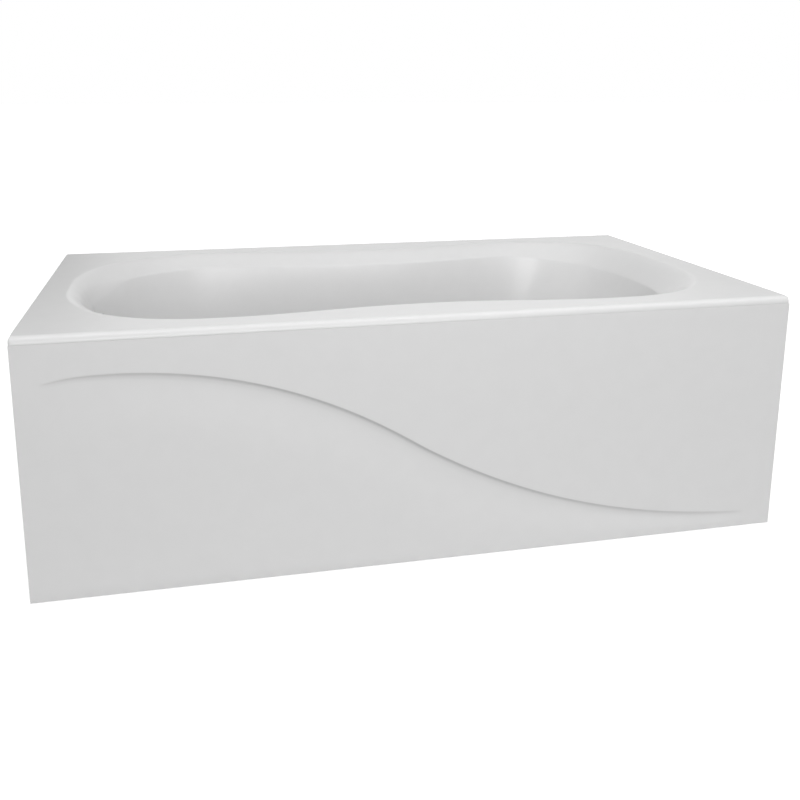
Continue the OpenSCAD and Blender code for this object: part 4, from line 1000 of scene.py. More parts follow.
def cup(r: float, low: float, top: float, flange: Pair, flare: Pair, ease: float) -> list[Pair]:
    """A moulded cup's profile: round foot, straight side, flared neck and a flange on top.

    Args:
        r: Outer radius.
        low: Height of the foot.
        top: Height of the flange's face.
        flange: Radius and thickness of the flange.
        flare: How far the neck spreads and how tall the spread is.
        ease: Size of the flange's eased edges.

    Returns:
        The profile's pairs.
    """
    fr, under = flange[0], top - flange[1]
    return [
        (0, low), *arc(r - 3, low + 3, 3, -90, 0), (r, under - flare[1]), (r + flare[0], under),
        (fr - ease, under), (fr, under + ease), (fr, top - ease), (fr - ease, top), (0, top)]


def inward(origin: Triple) -> Place:
    """Returns a place whose axis runs along +Y."""
    return Place(origin, (0.0, 1.0, 0.0), (1.0, 0.0, 0.0))


@dataclass
class PopUpWaste(Assembly):
    """The drain: flange with strainer, sealing plug and the moulded body under the floor."""

    axis: Place = Place((-470.0, 0.0, 0.0))
    floor_z: float = 112.0
    flange_r: float = 35.0
    flange_t: float = 3.0
    tube_r: float = 24.0
    tube_wall: float = 3.0
    tube_low: float = 86.0
    spoke: Pair = (3.0, 6.0)
    hub: Triple = (3.4, 6.0, 10.0)
    seal: Quad = (3.2, 26.6, 115.1, 2.4)
    cap_r: float = 29.0
    cap_z: float = 117.5
    cap_edge: float = 2.0
    cap_rise: float = 5.0
    body_r: float = 30.6
    body_low: float = 36.45
    body_top: float = 101.98
    body_flange: Pair = (38.0, 4.0)
    cavity_r: float = 27.1
    cavity: Pair = (39.95, 82.0)
    mouth_r: float = 24.1
    socket: Triple = (22.15, 19.25, 17.55)
    socket_at: Pair = (-521.6, 60.0)
    socket_reach: float = 51.6
    gland_r: float = 7.0
    gland_at: Triple = (-470.0, -38.6, 68.0)

    def flange(self) -> Object:
        """The chromed flange: a rolled rim, a dished mouth, the sleeve and a four-spoke strainer."""
        z, top, r = self.floor_z, self.floor_z + self.flange_t, self.flange_r
        low, outer, inner = self.tube_low, self.tube_r, self.tube_r - self.tube_wall
        ring = [(outer, low + 1), (outer, z), (r - 0.6, z), (r - 0.1, z + 0.3)]
        ring += arc(r - 1.6, z + 1.0, 1.6, 10, 90, 6) + [(r - 4.5, top - 0.25), (inner + 4.5, top - 0.7)]
        ring += arc(inner + 3.0, top - 3.7, 3.0, 90, 180, 7)
        ring += [(inner, low + 0.8), (inner + 0.8, low), (outer - 0.8, low)]
        bore, hub, high = self.hub
        eye = rod(hub, low, low + high, 0.6, 1.2, bore)
        shape = Shape().lathe(ring, self.axis, 96).lathe(eye, self.axis, 40)
        section = block(*self.spoke, 1.2)
        reach = (bore + 1.2, inner + 1.0)
        for grid in spokes(self.axis, low + self.spoke[1] / 2, reach, (45, 135, 225, 315), section):
            shape.grid(grid)
        return shape.make("drain_ring", 40)

    def cap(self) -> Object:
        """The plug's domed cap with a rolled edge."""
        z, r = self.cap_z, self.cap_r
        dome = [(0, z), (r - 1.2, z), (r - 0.4, z + 0.2)] + arc(r - 1.0, z + 1.0, 1.0, -25, 75, 6)
        dome += [
            ((r - 1.2) * u, z + self.cap_edge + self.cap_rise * math.sqrt(1 - u * u))
            for u in np.linspace(1, 0, 15)[1:]]
        return Shape().lathe(dome, self.axis, 96).make("plug_dome", 40)

    def lip(self) -> Object:
        """The plug's lipped rubber seal."""
        bore, c, b, t = self.seal
        top = b + t
        lip = [(bore, b), (c - 3, b), (c - 0.9, b), (c, b + 0.35), (c - 0.2, b + 0.9), (c - 1.4, b + 1.2)]
        lip += [(c - 1.4, top - 0.9), (c - 0.5, top - 0.5), (c - 0.7, top), (bore, top)]
        return Shape().lathe(lip, self.axis, 72).make("plug_lip", 50)

    def body(self) -> Object:
        """The moulded body: cup, flange, side socket and cable gland, with eight stiffening webs."""
        top, r, (fr, ft) = self.body_top, self.body_r, self.body_flange
        side, stop = level(*self.socket_at), self.socket_reach - 8
        s_r, fit, bore = self.socket
        web_reach, web_turns = (r - 1, fr - 3), 22.5 + 45 * np.arange(8)
        outers = [
            turned(cup(r, self.body_low, top, self.body_flange, (1.2, 1.5), 0.8), self.axis),
            turned(rod(s_r, 0, self.socket_reach, 0.6), side),
            turned(rod(self.gland_r, 0, 12, 0.8), inward(self.gland_at), 32),
            *spokes(self.axis, top - ft - 4.0, web_reach, web_turns, block(2.4, 9.0, 0.8)),
        ]
        inners = [
            turned(rod(self.cavity_r, *self.cavity), self.axis),
            turned(rod(self.mouth_r, self.cavity[1] - 1, top + 3), self.axis),
            turned(stepped(-3, (fit, 24), (bore, stop)), side),
        ]
        return fused("drain_cup", outers, inners)

    def pieces(self) -> list[Piece]:
        """Makes the drain's pieces."""
        return [
            Piece(self.cap(), "plug_cap", "plug", Finish.CHROME),
            Piece(self.lip(), "plug_seal", "plug", Finish.RUBBER),
            Piece(self.flange(), "drain_flange", "tub", Finish.CHROME),
            Piece(self.body(), "drain_body", "tub", Finish.PIPE),
        ]


@dataclass
class Overflow(Assembly):
    """The overflow: clamping flange, turning knob and the body behind the wall."""

    flange_r: float = 35.0
    face_z: float = 0.1
    bore: float = 19.0
    sleeve_r: float = 22.0
    sleeve_low: float = -22.3
    knob_r: float = 31.8
    knob_back: float = 8.1
    knob_h: float = 14.0
    bevel: float = 3.0
    boss: Pair = (4.05, 9.0)
    grips: int = 18
    grip: Pair = (32.8, 2.0)
    body_r: float = 30.0
    body_top: float = -10.32
    body_back: float = -40.3
    body_flange: Pair = (36.0, 3.0)
    stack: Place = Place((-692.0, 0.0, 0.0))
    socket: Triple = (22.15, 356.0, 394.0)
    pipe_hole: Pair = (19.25, 370.0)
    gland: Pair = (6.0, 12.0)
    gland_at: Triple = (-682.952, -36.0, 402.393)

    def flange(self) -> Object:
        """The clamping flange: rolled rim, sleeve, four spokes and a hub for the spindle."""
        r, b, z, top = self.flange_r, self.bore, self.face_z, self.face_z + 2.9
        low, outer = self.sleeve_low, self.sleeve_r
        ring = [(outer, low + 0.6), (outer, z), (r - 0.5, z)] + arc(r - 1.5, z + 1.4, 1.5, 0, 90, 6)
        ring += [(r - 5, top), (b + 2.5, top)] + arc(b + 1.5, z + 1.5, 1.5, 90, 180, 5)
        ring += [(b, low), (outer - 0.6, low)]
        hub = rod(7, 0, 3, 0.6, 0.6, 4.4)
        shape = Shape().lathe(ring, OVERFLOW_SEAT, 96).lathe(hub, OVERFLOW_SEAT, 40)
        for grid in spokes(OVERFLOW_SEAT, 1.6, (5.4, b + 1), (0, 90, 180, 270), block(3.0, 2.8, 0.9)):
            shape.grid(grid)
        return shape.make("overflow_ring", 40)

    def knob(self) -> Object:
        """The knob: a hollow cap with a dished face, round shoulders and eighteen finger grips.

        A grip's radius is R cos d - sqrt(r^2 - (R sin d)^2), d being the angle from its middle.
        """
        around, across = self.grip
        pitch = 2 * math.pi / self.grips

        def limit(angle: Grid, h: Grid) -> Grid:
            """Returns the largest radius that the grips leave."""
            off = np.mod(angle + pitch / 2, pitch) - pitch / 2
            away = around * np.sin(off)
            cut = around * np.cos(off) - np.sqrt(np.clip(across**2 - away**2, 0, None))
            return np.where(np.abs(away) < across, cut, self.knob_r + 1)

        r, z0, z1 = self.knob_r, self.knob_back, self.knob_back + self.knob_h
        bore, boss = self.boss
        cap = [(r - 3, z1 - 3), (r - 3, z0 + 0.4), (r - 2.6, z0)]
        cap += [(r - 0.5, z0), (r, z0 + 0.5), (r, z1 - self.bevel)]
        cap += arc(r - self.bevel, z1 - self.bevel, self.bevel, 15, 90, 7)
        cap += [(r - 5, z1), (r - 6.5, z1 - 0.15), (r - 9, z1 - 0.7), (15, z1 - 1.1), (0, z1 - 1.3)]
        cap += [(0, z1 - 3), (bore, z1 - 3), (bore, z0 + 0.4), (bore + 0.4, z0)]
        cap += [(boss - 0.4, z0), (boss, z0 + 0.4), (boss, z1 - 3)]
        return Shape().lathe(cap, OVERFLOW_SEAT, self.grips * 16, limit).make("overflow_dial", 32)

    def body(self) -> Object:
        """The moulded body behind the wall, with its pipe socket and cable gland."""
        top, back, r = self.body_top, self.body_back, self.body_r
        s_r, s_low, s_top = self.socket
        fit, stop = self.pipe_hole
        outers = [
            turned(cup(r, back, top, self.body_flange, (1, 1), 0.6), OVERFLOW_SEAT),
            turned(rod(s_r, s_low, s_top, 0.6), self.stack),
            turned(rod(self.gland[0], 0, self.gland[1], 0.7), inward(self.gland_at), 32),
        ]
        inners = [
            turned(rod(r - 3, back + 3, top - 12), OVERFLOW_SEAT),
            turned(rod(self.sleeve_r + 0.1, top - 13, top + 3), OVERFLOW_SEAT),
            turned(rod(fit, s_low - 3, stop), self.stack),
        ]
        return fused("overflow_cup", outers, inners)

    def pieces(self) -> list[Piece]:
        """Makes the overflow's pieces."""
        return [
            Piece(self.flange(), "overflow_flange", "tub", Finish.CHROME),
            Piece(self.knob(), "overflow_knob", "knob", Finish.CHROME),
            Piece(self.body(), "overflow_body", "tub", Finish.PIPE),
        ]


@dataclass
class Pipework(Assembly):
    """The stack: pipes, tee, tailpiece, ribbed slip nuts and the cable's sheath."""

    stack_x: float = -692.0
    pipe_r: float = 19.05
    pipe_wall: float = 1.5
    pipe_z: float = 60.0
    drain_pipe: Pair = (-660.0, -499.6)
    overflow_pipe: Pair = (82.0, 370.0)
    tailpiece: Pair = (2.0, 42.0)
    bead: Triple = (20.55, 17.0, 19.0)
    tee: Triple = (22.15, 28.0, 96.0)
    tee_side: float = 46.0
    tee_stop: float = 14.0
    nuts_upright: tuple[Pair, ...] = ((363.5, -1.0), (88.5, 1.0), (35.5, -1.0))
    nuts_level: tuple[Pair, ...] = ((-653.5, 1.0), (-514.1, -1.0))
    nut_r: float = 26.6
    nut_h: float = 16.0
    nut_face: float = 5.0
    nut_ribs: int = 24
    rib_depth: float = 0.7
    socket_fit: float = 22.25
    pipe_fit: float = 19.15
    cable_r: float = 3.0
    cable_y: float = -32.15
    cable_top: float = 408.0

    def pipe(self, name: str, place: Place, ends: Pair, bead: Sequence[Pair] = ()) -> Piece:
        """A pipe with eased ends, and a bead if one is given."""
        section = rod(self.pipe_r, *ends, 0.4, 0.4, self.pipe_r - self.pipe_wall)
        section[3:3] = bead
        return Piece(Shape().lathe(section, place).make(f"{name}_tube"), name, "tub", Finish.PIPE)

    def pipes(self) -> list[Piece]:
        """Makes the three pipes; the tailpiece has a round bead."""
        r, (b, z0, z1) = self.pipe_r, self.bead
        mid, half = (z0 + z1) / 2, (z1 - z0) / 2
        turns = np.linspace(0.3, math.pi - 0.3, 7)
        swell = [(r + (b - r) * math.sin(a), mid - half * math.cos(a)) for a in turns]
        stack = Place((self.stack_x, 0.0, 0.0))
        return [
            self.pipe("drain_pipe", level(0.0, self.pipe_z), self.drain_pipe),
            self.pipe("overflow_pipe", stack, self.overflow_pipe),
            self.pipe("tailpiece", stack, self.tailpiece, [(r, z0 - 0.3), *swell, (r, z1 + 0.3)]),
        ]

    def tee_body(self) -> Object:
        """The tee: two bored sockets with a swept collar where they meet."""
        r, low, high = self.tee
        side, stop, fit, inner = self.tee_side, self.tee_stop, self.pipe_fit, self.pipe_r - self.pipe_wall
        post, arm = Place((self.stack_x, 0.0, 0.0)), level(self.stack_x, self.pipe_z)
        collar = r + 2.2
        neck = [(0, 0), (collar, 0), (collar, r - 1), (r + 1.4, r + 0.6), (r, collar), (0, collar)]
        outers = [
            turned(rod(r, low, high, 0.6, 0.6), post),
            turned(rod(r, -6, side, 0, 0.6), arm),
            turned(neck, arm),
        ]
        inners = [
            turned(stepped(low - 2, (fit, low + stop), (inner, high - stop), (fit, high + 2)), post),
            turned(stepped(0, (inner, side - stop), (fit, side + 2)), arm),
        ]
        return fused("waste_tee_body", outers, inners)

    def nuts(self) -> Object:
        """Five slip nuts with finger ribs: radius r + d clip(1.6 cos(24 a)) - d."""
        r, h, d, fit, hole = self.nut_r, self.nut_h, self.rib_depth, self.socket_fit, self.pipe_fit
        face = h - self.nut_face

        def ribs(angle: Grid, z: Grid) -> Grid:
            """Returns the ribbed outline's radius at each angle."""
            return r - d + d * np.clip(1.6 * np.cos(self.nut_ribs * angle), -1, 1)

        section = [(fit, 0), (r - 1.6, 0), (r - 0.3, 0.9), (r + 1, 1.6), (r + 1, h - 4.6), (r - 1.2, h - 3.4)]
        section += [(r - 2.2, h - 2.2), (r - 3.2, h - 0.8), (r - 4.2, h)]
        section += [(hole, h), (hole, face), (fit, face)]
        places = [Place((self.stack_x, 0.0, z), (0.0, 0.0, way)) for z, way in self.nuts_upright]
        places += [level(x, self.pipe_z, way) for x, way in self.nuts_level]
        shape = Shape()
        for place in places:
            shape.lathe(section, place, self.nut_ribs * 10, ribs)
        return shape.make("ribbed_nuts", 38)

    def cable(self) -> Object:
        """The cable's sheath on one smooth curve through its points (Catmull-Rom)."""
        x, y, z, drain, low = self.stack_x, self.cable_y, self.cable_top, -470.0, 68.0
        points = np.array([
            (-682.952, -27.0, 402.393), (-682.952, -38.0, 402.393), (x + 3, y - 14.8, z - 8),
            (x + 2, y - 21.8, z - 17), (x + 1, y - 23.8, z - 30), (x, y - 20.8, z - 46),
            (x, y - 13.8, z - 65), (x, y - 4.8, z - 86), (x, y, z - 108), (x, y, 270), (x, y, 230),
            (x, y, 190), (x + 2, y, 150), (x + 9, y, 120), (x + 25, y, 98), (x + 47, y, 86),
            (x + 72, y, 82), (drain - 120, y, 81), (drain - 90, y, 79), (drain - 60, y - 6, 75),
            (drain - 38, y - 18, 71), (drain - 20, -59.2, low), (drain - 7, -58.2, low),
            (drain, -46.6, low), (drain, -38.6, low), (drain, -31.1, low)])
        ends = np.concatenate([[2 * points[0] - points[1]], points, [2 * points[-1] - points[-2]]])
        a, b, c, e = ends[:-3, None], ends[1:-2, None], ends[2:-1, None], ends[3:, None]
        t = np.linspace(0, 1, 7)[:-1, None]
        curve = 2 * b + (c - a) * t + (2 * a - 5 * b + 4 * c - e) * t**2 + (3 * b - a - 3 * c + e) * t**3
        path = np.concatenate([curve.reshape(-1, 3) / 2, points[-1:]])
        return Shape().grid(swept(path, disc(self.cable_r, 18), (0.3, 1.0, 0.2))).make("cable_skin", 60)

    def pieces(self) -> list[Piece]:
        """Makes the stack's pieces."""
        return self.pipes() + [
            Piece(self.tee_body(), "waste_tee", "tub", Finish.PIPE),
            Piece(self.nuts(), "slip_nuts", "tub", Finish.PIPE),
            Piece(self.cable(), "cable_sheath", "tub", Finish.BLACK),
        ]


# ---------------------------------------------------------------- feet and frame details


class Foot(Enum):
    """The six feet: (name, x, y, height of the tube's underside)."""

    RAIL_FRONT = ("rail_front", -620.0, -110.0, 63.0)
    RAIL_BACK = ("rail_back", -620.0, 110.0, 63.0)
    LEFT_FRONT = ("left_front", -300.0, -350.0, 33.0)
    LEFT_BACK = ("left_back", -300.0, 350.0, 33.0)
    RIGHT_FRONT = ("right_front", 430.0, -350.0, 33.0)
    RIGHT_BACK = ("right_back", 430.0, 350.0, 33.0)


@dataclass
class Feet(Assembly):
    """Levelling feet: threaded studs, swivelling shoes, bushes and lock nuts."""

    stud_r: float = 6.0
    stud_low: float = 6.0
    stud_l: float = 74.0
    base_z: float = 33.0
    pitch: float = 1.75
    thread: float = 0.85
    shoe_r: float = 25.0
    shoe_h: float = 12.0
    neck: float = 6.0
    bore: float = 6.15
    bush_r: float = 10.0
    bush_flange: Pair = (13.0, 3.0)
    tube: float = 30.0
    nut_r: float = 10.8
    nut_h: float = 8.0

    def stud(self, foot: Foot) -> Object:
        """A threaded stud: radius r - t |2 frac(z / pitch - a / 2 pi) - 1|, tapered at both ends."""
        name, x, y, under = foot.value
        low, high = self.stud_low, self.stud_low + self.stud_l + under - self.base_z
        z = np.linspace(low, high, int((high - low) / self.pitch * 6))[:, None]
        angle = np.linspace(0, 2 * np.pi, 24, endpoint=False)[None, :]
        wave = np.abs(2 * np.mod(z / self.pitch - angle / (2 * np.pi), 1) - 1)
        r = self.stud_r - self.thread * np.clip(1.3 * wave - 0.15, 0, 1)
        r = np.minimum(r, self.stud_r - self.thread - 0.6 + np.minimum(z - low, high - z))
        side = np.stack([r * np.cos(angle), r * np.sin(angle), z + 0 * angle], -1)
        poles = [np.broadcast_to([0.0, 0.0, h], (1, 24, 3)) for h in (low, high)]
        grid = Place((x, y, 0.0)).put(np.concatenate([poles[0], side, poles[1]]))
        return Shape().grid(grid).make(f"foot_stud_{name}", 50)

    def shoe(self, foot: Foot) -> Object:
        """A moulded shoe: rounded tread edge, a grip groove round the rim, a dished top and a socket."""
        name, x, y, _ = foot.value
        r, h, hole, neck = self.shoe_r, self.shoe_h, self.stud_r + 0.05, self.stud_r + self.neck
        outline = [(0, 0.5), (r - 9, 0.5), (r - 8.5, 0), (r - 1.2, 0)] + arc(r - 1.2, 1.2, 1.2, -70, 0, 4)
        outline += [(r, 2.6), (r - 0.7, 3.1), (r - 0.7, 3.7), (r, 4.2)]
        outline += arc(r - 1.4, h / 2 - 1.0, 1.4, 0, 60, 4) + [(r - 3.0, h / 2 + 1.0)]
        outline += [(neck + 4, h - 3.6), (neck + 1.2, h - 1.6), (neck + 0.3, h - 0.5), (neck - 0.6, h)]
        outline += [(hole + 0.4, h), (hole, h - 0.4), (hole, h - 6), (0, h - 6)]
        return Shape().lathe(outline, Place((x, y, 0.0)), 72).make(f"foot_shoe_{name}", 40)

    def bushes(self) -> Object:
        """Six threaded bushes, each with a rounded flange on top of its tube."""
        fr, ft = self.bush_flange
        base, top = self.tube, self.tube + ft
        ring = [(self.bore, 0), (self.bush_r, 0), (self.bush_r, base), (fr - 0.3, base), (fr, base + 0.3)]
        ring += [(fr, top - 1.2), *arc(fr - 1.2, top - 1.2, 1.2, 10, 90, 4)]
        ring += [(7.6, top), (self.bore, top - 1.2)]
        shape = Shape()
        for _, x, y, under in (foot.value for foot in Foot):
            shape.lathe(ring, Place((x, y, under)), 48)
        return shape.make("bush_rings", 40)

    def nuts(self) -> Object:
        """Six hexagon nuts: the radius is the lesser of the flats' and the chamfer cone's."""
        apothem, h, side = self.nut_r * math.cos(math.pi / 6), self.nut_h, math.pi / 3

        def limit(angle: Grid, z: Grid) -> Grid:
            """Returns the nut's outline, cut by a cone at both faces."""
            flat = apothem / np.cos(np.mod(angle, side) - side / 2)
            return np.minimum(flat, apothem - 0.2 + 1.73 * np.minimum(z, h - z))

        bevel, beyond = self.bore + 0.75, 2 * self.nut_r
        outside = [(beyond, z) for z in (0, 0.25, 0.6, 1.0, h / 2, h - 1.0, h - 0.6, h - 0.25, h)]
        rows = [(bevel, 0), *outside, (bevel, h), (self.bore, h - 0.8), (self.bore, 0.8)]
        shape = Shape()
        for _, x, y, under in (foot.value for foot in Foot):
            shape.lathe(rows, Place((x, y, under - h)), 96, limit)
        return shape.make("hex_nuts", 28)

    def pieces(self) -> list[Piece]:
        """Makes every foot's pieces."""
        pieces = [
            Piece(self.bushes(), "foot_bushes", "tub", Finish.BLACK),
            Piece(self.nuts(), "lock_nuts", "tub", Finish.ZINC),
        ]
        for foot in Foot:
            name = foot.value[0]
            pieces += [
                Piece(self.stud(foot), f"foot_screw_{name}", f"foot_{name}", Finish.ZINC),
                Piece(self.shoe(foot), f"foot_pad_{name}", f"foot_{name}", Finish.BLACK),
            ]
        return pieces


@dataclass
class FrameTrim(Assembly):
    """What a fabricated steel frame carries: weld beads at the uprights and caps in the tubes' ends."""

    cross_x: Pair = (-300.0, 430.0)
    upright_y: float = 375.0
    upright: float = 20.0
    weld_z: Pair = (66.0, 480.0)
    bead_r: float = 1.7
    ripple: Pair = (0.16, 2.6)
    rail_y: float = 110.0
    rail_ends: Pair = (-640.0, 470.0)
    rail_z: float = 78.0
    cross_y: float = 385.0
    cross_z: float = 48.0
    inside: float = 25.6
    cap_depths: Quad = (-8.0, -0.9, -0.35, -0.1)
    cap_sizes: Quad = (1.0, 1.0, 0.97, 0.9)

    def welds(self) -> Object:
        """Rippled beads round each upright's foot and head: a loop whose size is 1 + 0.16 sin(k s)."""
        loop = block(self.upright, self.upright, 1.5, 3)
        step = np.linalg.norm(np.roll(loop, -1, 0) - loop, axis=1)
        at = np.concatenate([[0], np.cumsum(step)])
        s = np.linspace(0, at[-1], 160, endpoint=False)
        closed = np.concatenate([loop, loop[:1]])
        flat = np.stack([np.interp(s, at, closed[:, k]) for k in (0, 1)], -1)
        height, wave = self.ripple
        shape = Shape()
        for x in self.cross_x:
            for side in (-1, 1):
                for z in self.weld_z:
                    path = np.column_stack([flat + [x, side * self.upright_y], np.full_like(s, z)])
                    size = 1 + height * np.sin(2 * np.pi * s / wave + x + z)
                    shape.grid(swept(path, disc(self.bead_r, 8), closed=True, swell=size), wrap_rows=True)
        return shape.make("weld_beads", 60)

    def caps(self) -> Object:
        """Plastic caps pressed into the open ends of the rails and cross members."""
        shape = Shape()
        section = block(self.inside, self.inside, 1.5, 4)
        ends: list[tuple[Triple, Triple]] = []
        for x in self.rail_ends:
            ends += [((x, s * self.rail_y, self.rail_z), (x / abs(x), 0, 0)) for s in (-1, 1)]
        for x in self.cross_x:
            ends += [((x, s * self.cross_y, self.cross_z), (0, s, 0)) for s in (-1, 1)]
        for at, way in ends:
            path = np.array(at) + np.outer(self.cap_depths, way)
            shape.grid(swept(path, section, swell=np.array(self.cap_sizes)))
        return shape.make("tube_caps", 40)

    def pieces(self) -> list[Piece]:
        """Makes the beads and the caps."""
        return [
            Piece(self.welds(), "", "tub", Finish.GALVANISED),
            Piece(self.caps(), "", "tub", Finish.BLACK),
        ]


# ---------------------------------------------------------------- carried-over solids


def named(stem: str, *ends: str) -> tuple[str, ...]:
    """Returns the stem joined to each end."""
    return tuple(f"{stem}_{end}" for end in ends)


FEET = tuple(foot.value[0] for foot in Foot)
MEMBERS = named("frame_rail", "front", "back") + named("cross_member", "left", "right")
UPRIGHTS = named("upright", "front_left", "front_right", "back_left", "back_right")
HOOKS = named("wall_hook", "left", "right")
BATTENS = named("rim_batten", "front", "back", "left", "right")
STRIPS = named("panel_strip", "top", "bottom")

NODE_FINISH: dict[Finish, tuple[str, ...]] = {
    Finish.BOARD: ("base_board",),
    Finish.BATTEN: BATTENS + STRIPS,
    Finish.GALVANISED: MEMBERS + UPRIGHTS + HOOKS + ("magnet_keepers", "panel_brackets"),
    Finish.ZINC: ("frame_screws", "board_screws", "lock_nuts", "lever_axle", "plug_pin", "knob_spindle",
                  *named("foot_screw", *FEET)),
    Finish.CHROME: ("drain_flange", "plug_cap", "overflow_flange", "overflow_knob"),
    Finish.PIPE: ("drain_body", "drain_pipe", "waste_tee", "tailpiece", "overflow_pipe", "overflow_body",
                  "slip_nuts"),
    Finish.BLACK: ("foot_bushes", *named("foot_pad", *FEET), "cable_sheath", "cable_ties", "panel_magnets"),
    Finish.RUBBER: ("drain_gasket", "overflow_gasket", "plug_seal", "slip_washers"),
    Finish.LEVER: ("lift_lever",),
    Finish.ACRYLIC: ("tub_shell", "grp_backing", "front_panel"),
}
EASED: dict[float, tuple[str, ...]] = {
    1.6: MEMBERS,
    0.8: UPRIGHTS + STRIPS + ("base_board",),
    0.6: HOOKS + ("panel_brackets", "magnet_keepers"),
    1.2: BATTENS,
}


@dataclass
class Carcass:
    """The solids that stay as they are: each gets its finish, and the steel, batten and board solids get
    eased edges.
    """

    shop: FinishShop
    nodes: dict[str, Object]

    def build(self) -> int:
        """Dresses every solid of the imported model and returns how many."""
        dressed = [(name, finish) for finish, names in NODE_FINISH.items() for name in names]
        for name, finish in dressed:
            self.shop.dress(self.nodes[name], finish)
        for width, names in EASED.items():
            for name in names:
                weld = self.nodes[name].modifiers.new("weld", "WELD")
                weld.merge_threshold = 2e-6
                ease = self.nodes[name].modifiers.new("ease", "BEVEL")
                ease.width, ease.segments = width * MM, 2
                ease.limit_method, ease.angle_limit = "ANGLE", math.radians(50)
        return len(dressed)


# ---------------------------------------------------------------- studio

WHITE: Triple = (1.0, 1.0, 1.0)


@dataclass(frozen=True)
class Sun:
    """A broad even light from far off, tipped from straight down and turned about the upright."""

    name: str
    strength: float
    spread: float
    tip: float
    turn: float = 0.0

    def make(self) -> Object:
        """Returns the light's object."""
        data = bpy.data.lights.new(self.name, "SUN")
        data.energy, data.angle = self.strength, math.radians(self.spread)
        made = bpy.data.objects.new(self.name, data)
        made.rotation_euler = (math.radians(self.tip), 0.0, math.radians(self.turn))
        return made


@dataclass(frozen=True)
class SoftBox:
    """A soft box: its watts, its place, how far it is tipped and its size."""

    name: str
    watts: float
    place: Triple
    tip: float
    size: Pair

    def make(self) -> Object:
        """Returns the light's object."""
        data = bpy.data.lights.new(self.name, "AREA")
        data.energy, data.shape, data.size, data.size_y = self.watts, "RECTANGLE", *self.size
        made = bpy.data.objects.new(self.name, data)
        made.location = self.place
        made.rotation_euler = (math.radians(self.tip), 0.0, 0.0)
        return made


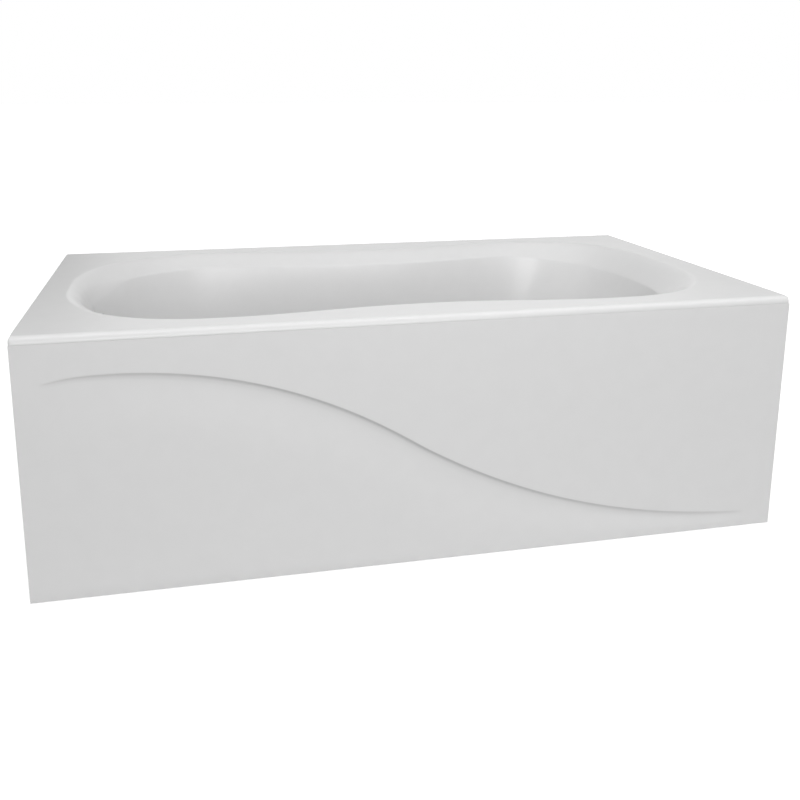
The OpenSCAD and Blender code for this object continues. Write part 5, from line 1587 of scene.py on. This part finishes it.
@dataclass
class Studio:
    """Camera, lights, floor and a white surround."""

    eye: Triple = (-0.4473, -1.9640, 0.9237)
    turn: Triple = (78.0174, -0.0048, -11.8849)
    lens: float = 39.70
    shift: Pair = (0.0341, -0.1529)
    world: float = 0.32
    dim: float = 0.8
    dim_left: Pair = (-0.17, -0.03)
    dim_right: Triple = (0.43, 0.6, 0.7)
    dim_up: Pair = (0.17, 0.4)
    dim_back: Pair = (0.6, 0.85)
    suns: tuple[Sun, ...] = (
        Sun("above", 0.43, 60.0, 0.0),
        Sun("front", 1.346, 40.0, 85.0),
        Sun("side", 0.21, 40.0, 63.0, -90.0),
    )
    boxes: tuple[SoftBox, ...] = (
        SoftBox("edge", 0.8, (0.0, -1.1, 0.95), 62.0, (1.2, 0.2)),
        SoftBox("strip", 12.6, (0.45, -0.76, 2.0), 0.0, (3.3, 0.3)),
    )
    floor_size: float = 60000.0
    floor_colour: Triple = (0.55, 0.55, 0.55)
    floor_rough: float = 0.9
    floor_specular: float = 0.1
    floor_glow: float = 0.82

    def camera(self) -> None:
        """Sets the camera up."""
        data = bpy.data.cameras.new("camera")
        data.lens, data.sensor_width = self.lens, 36.0
        data.shift_x, data.shift_y = self.shift
        data.clip_start, data.clip_end = 0.05, 200.0
        made = bpy.data.objects.new("camera", data)
        made.location = self.eye
        made.rotation_euler = [math.radians(v) for v in self.turn]
        bpy.context.scene.collection.objects.link(made)
        bpy.context.scene.camera = made

    def lights(self) -> None:
        """Three broad suns, two soft boxes over the front edge, and an even surround."""
        for light in (*self.suns, *self.boxes):
            bpy.context.scene.collection.objects.link(light.make())
        world = bpy.data.worlds.new("surround")
        bpy.context.scene.world = world
        world.use_nodes = True
        w = Wiring(world.node_tree)
        plain = w.fill(world.node_tree.nodes["Background"], {"Color": WHITE, "Strength": self.world})
        bright = w.node("Background", {"Color": WHITE, "Strength": self.gleam(w)})
        mixed = w.node("MixShader", {0: self.seen(w), 1: plain.outputs[0], 2: bright.outputs[0]})
        w.fill(world.node_tree.nodes["World Output"], {"Surface": mixed.outputs[0]})

    def gleam(self, w: Wiring) -> Socket:
        """Returns the white's strength: 1, but less for low glossy rays to the back's two ends."""
        way = w.node("SeparateXYZ", {0: w.node("TexCoord").outputs["Generated"]}).outputs
        low_x, high_x, share = self.dim_right
        left = w.ramp(way["X"], *self.dim_left, 1.0, 0.0)
        ends = w.maths("MAXIMUM", left, w.ramp(way["X"], low_x, high_x, 0.0, share))
        low = w.maths("MULTIPLY", ends, w.ramp(way["Z"], *self.dim_up, 1.0, 0.0))
        behind = w.maths("MULTIPLY", low, w.ramp(way["Y"], *self.dim_back))
        glossy = w.node("LightPath").outputs["Is Glossy Ray"]
        return w.ramp(w.maths("MULTIPLY", behind, glossy), 0.0, 1.0, 1.0, 1.0 - self.dim)

    @staticmethod
    def seen(w: Wiring) -> Socket:
        """Returns 1 for camera, glossy and transmission rays and 0 for the rest."""
        path = w.node("LightPath").outputs
        either = w.maths("MAXIMUM", path["Is Camera Ray"], path["Is Glossy Ray"])
        return w.maths("MAXIMUM", either, path["Is Transmission Ray"])

    def floor(self) -> None:
        """A plain pale floor that is white but for the tub's shadow."""
        corners = self.floor_size * np.array([(-1, -1, 0), (1, -1, 0), (1, 1, 0), (-1, 1, 0)])
        made = Shape().add(corners, [(0, 1, 2, 3)]).make("floor")
        material = bpy.data.materials.new("floor")
        material.use_nodes = True
        nodes, w = material.node_tree.nodes, Wiring(material.node_tree)
        plain = w.fill(nodes["Principled BSDF"], {
            "Base Color": self.floor_colour, "Roughness": self.floor_rough,
            "Specular IOR Level": self.floor_specular})
        strength = w.maths("MULTIPLY", self.seen(w), self.floor_glow)
        glow = w.node("Emission", {"Color": WHITE, "Strength": strength})
        both = w.node("AddShader", {0: plain.outputs[0], 1: glow.outputs[0]})
        w.fill(nodes["Material Output"], {"Surface": both.outputs[0]})
        made.data.materials.append(material)

    def build(self) -> None:
        """Makes the camera, the lights and the floor."""
        bpy.context.scene.view_settings.view_transform = "Standard"
        self.camera()
        self.lights()
        self.floor()


def main() -> None:
    """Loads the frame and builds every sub-assembly in order."""
    logging.basicConfig(level=logging.INFO, format="%(name)s: %(message)s")
    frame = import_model()
    Studio().build()
    shop = FinishShop()
    log.info("carried-over solids: %d", Carcass(shop, frame["nodes"]).build())
    for kind in (Tub, FrontPanel, PopUpWaste, Overflow, Pipework, Feet, FrameTrim):
        for piece in kind(shop).build():
            log.info("%s: %d faces", piece.name, len(piece.data.polygons))


if __name__ == "__main__":
    main()
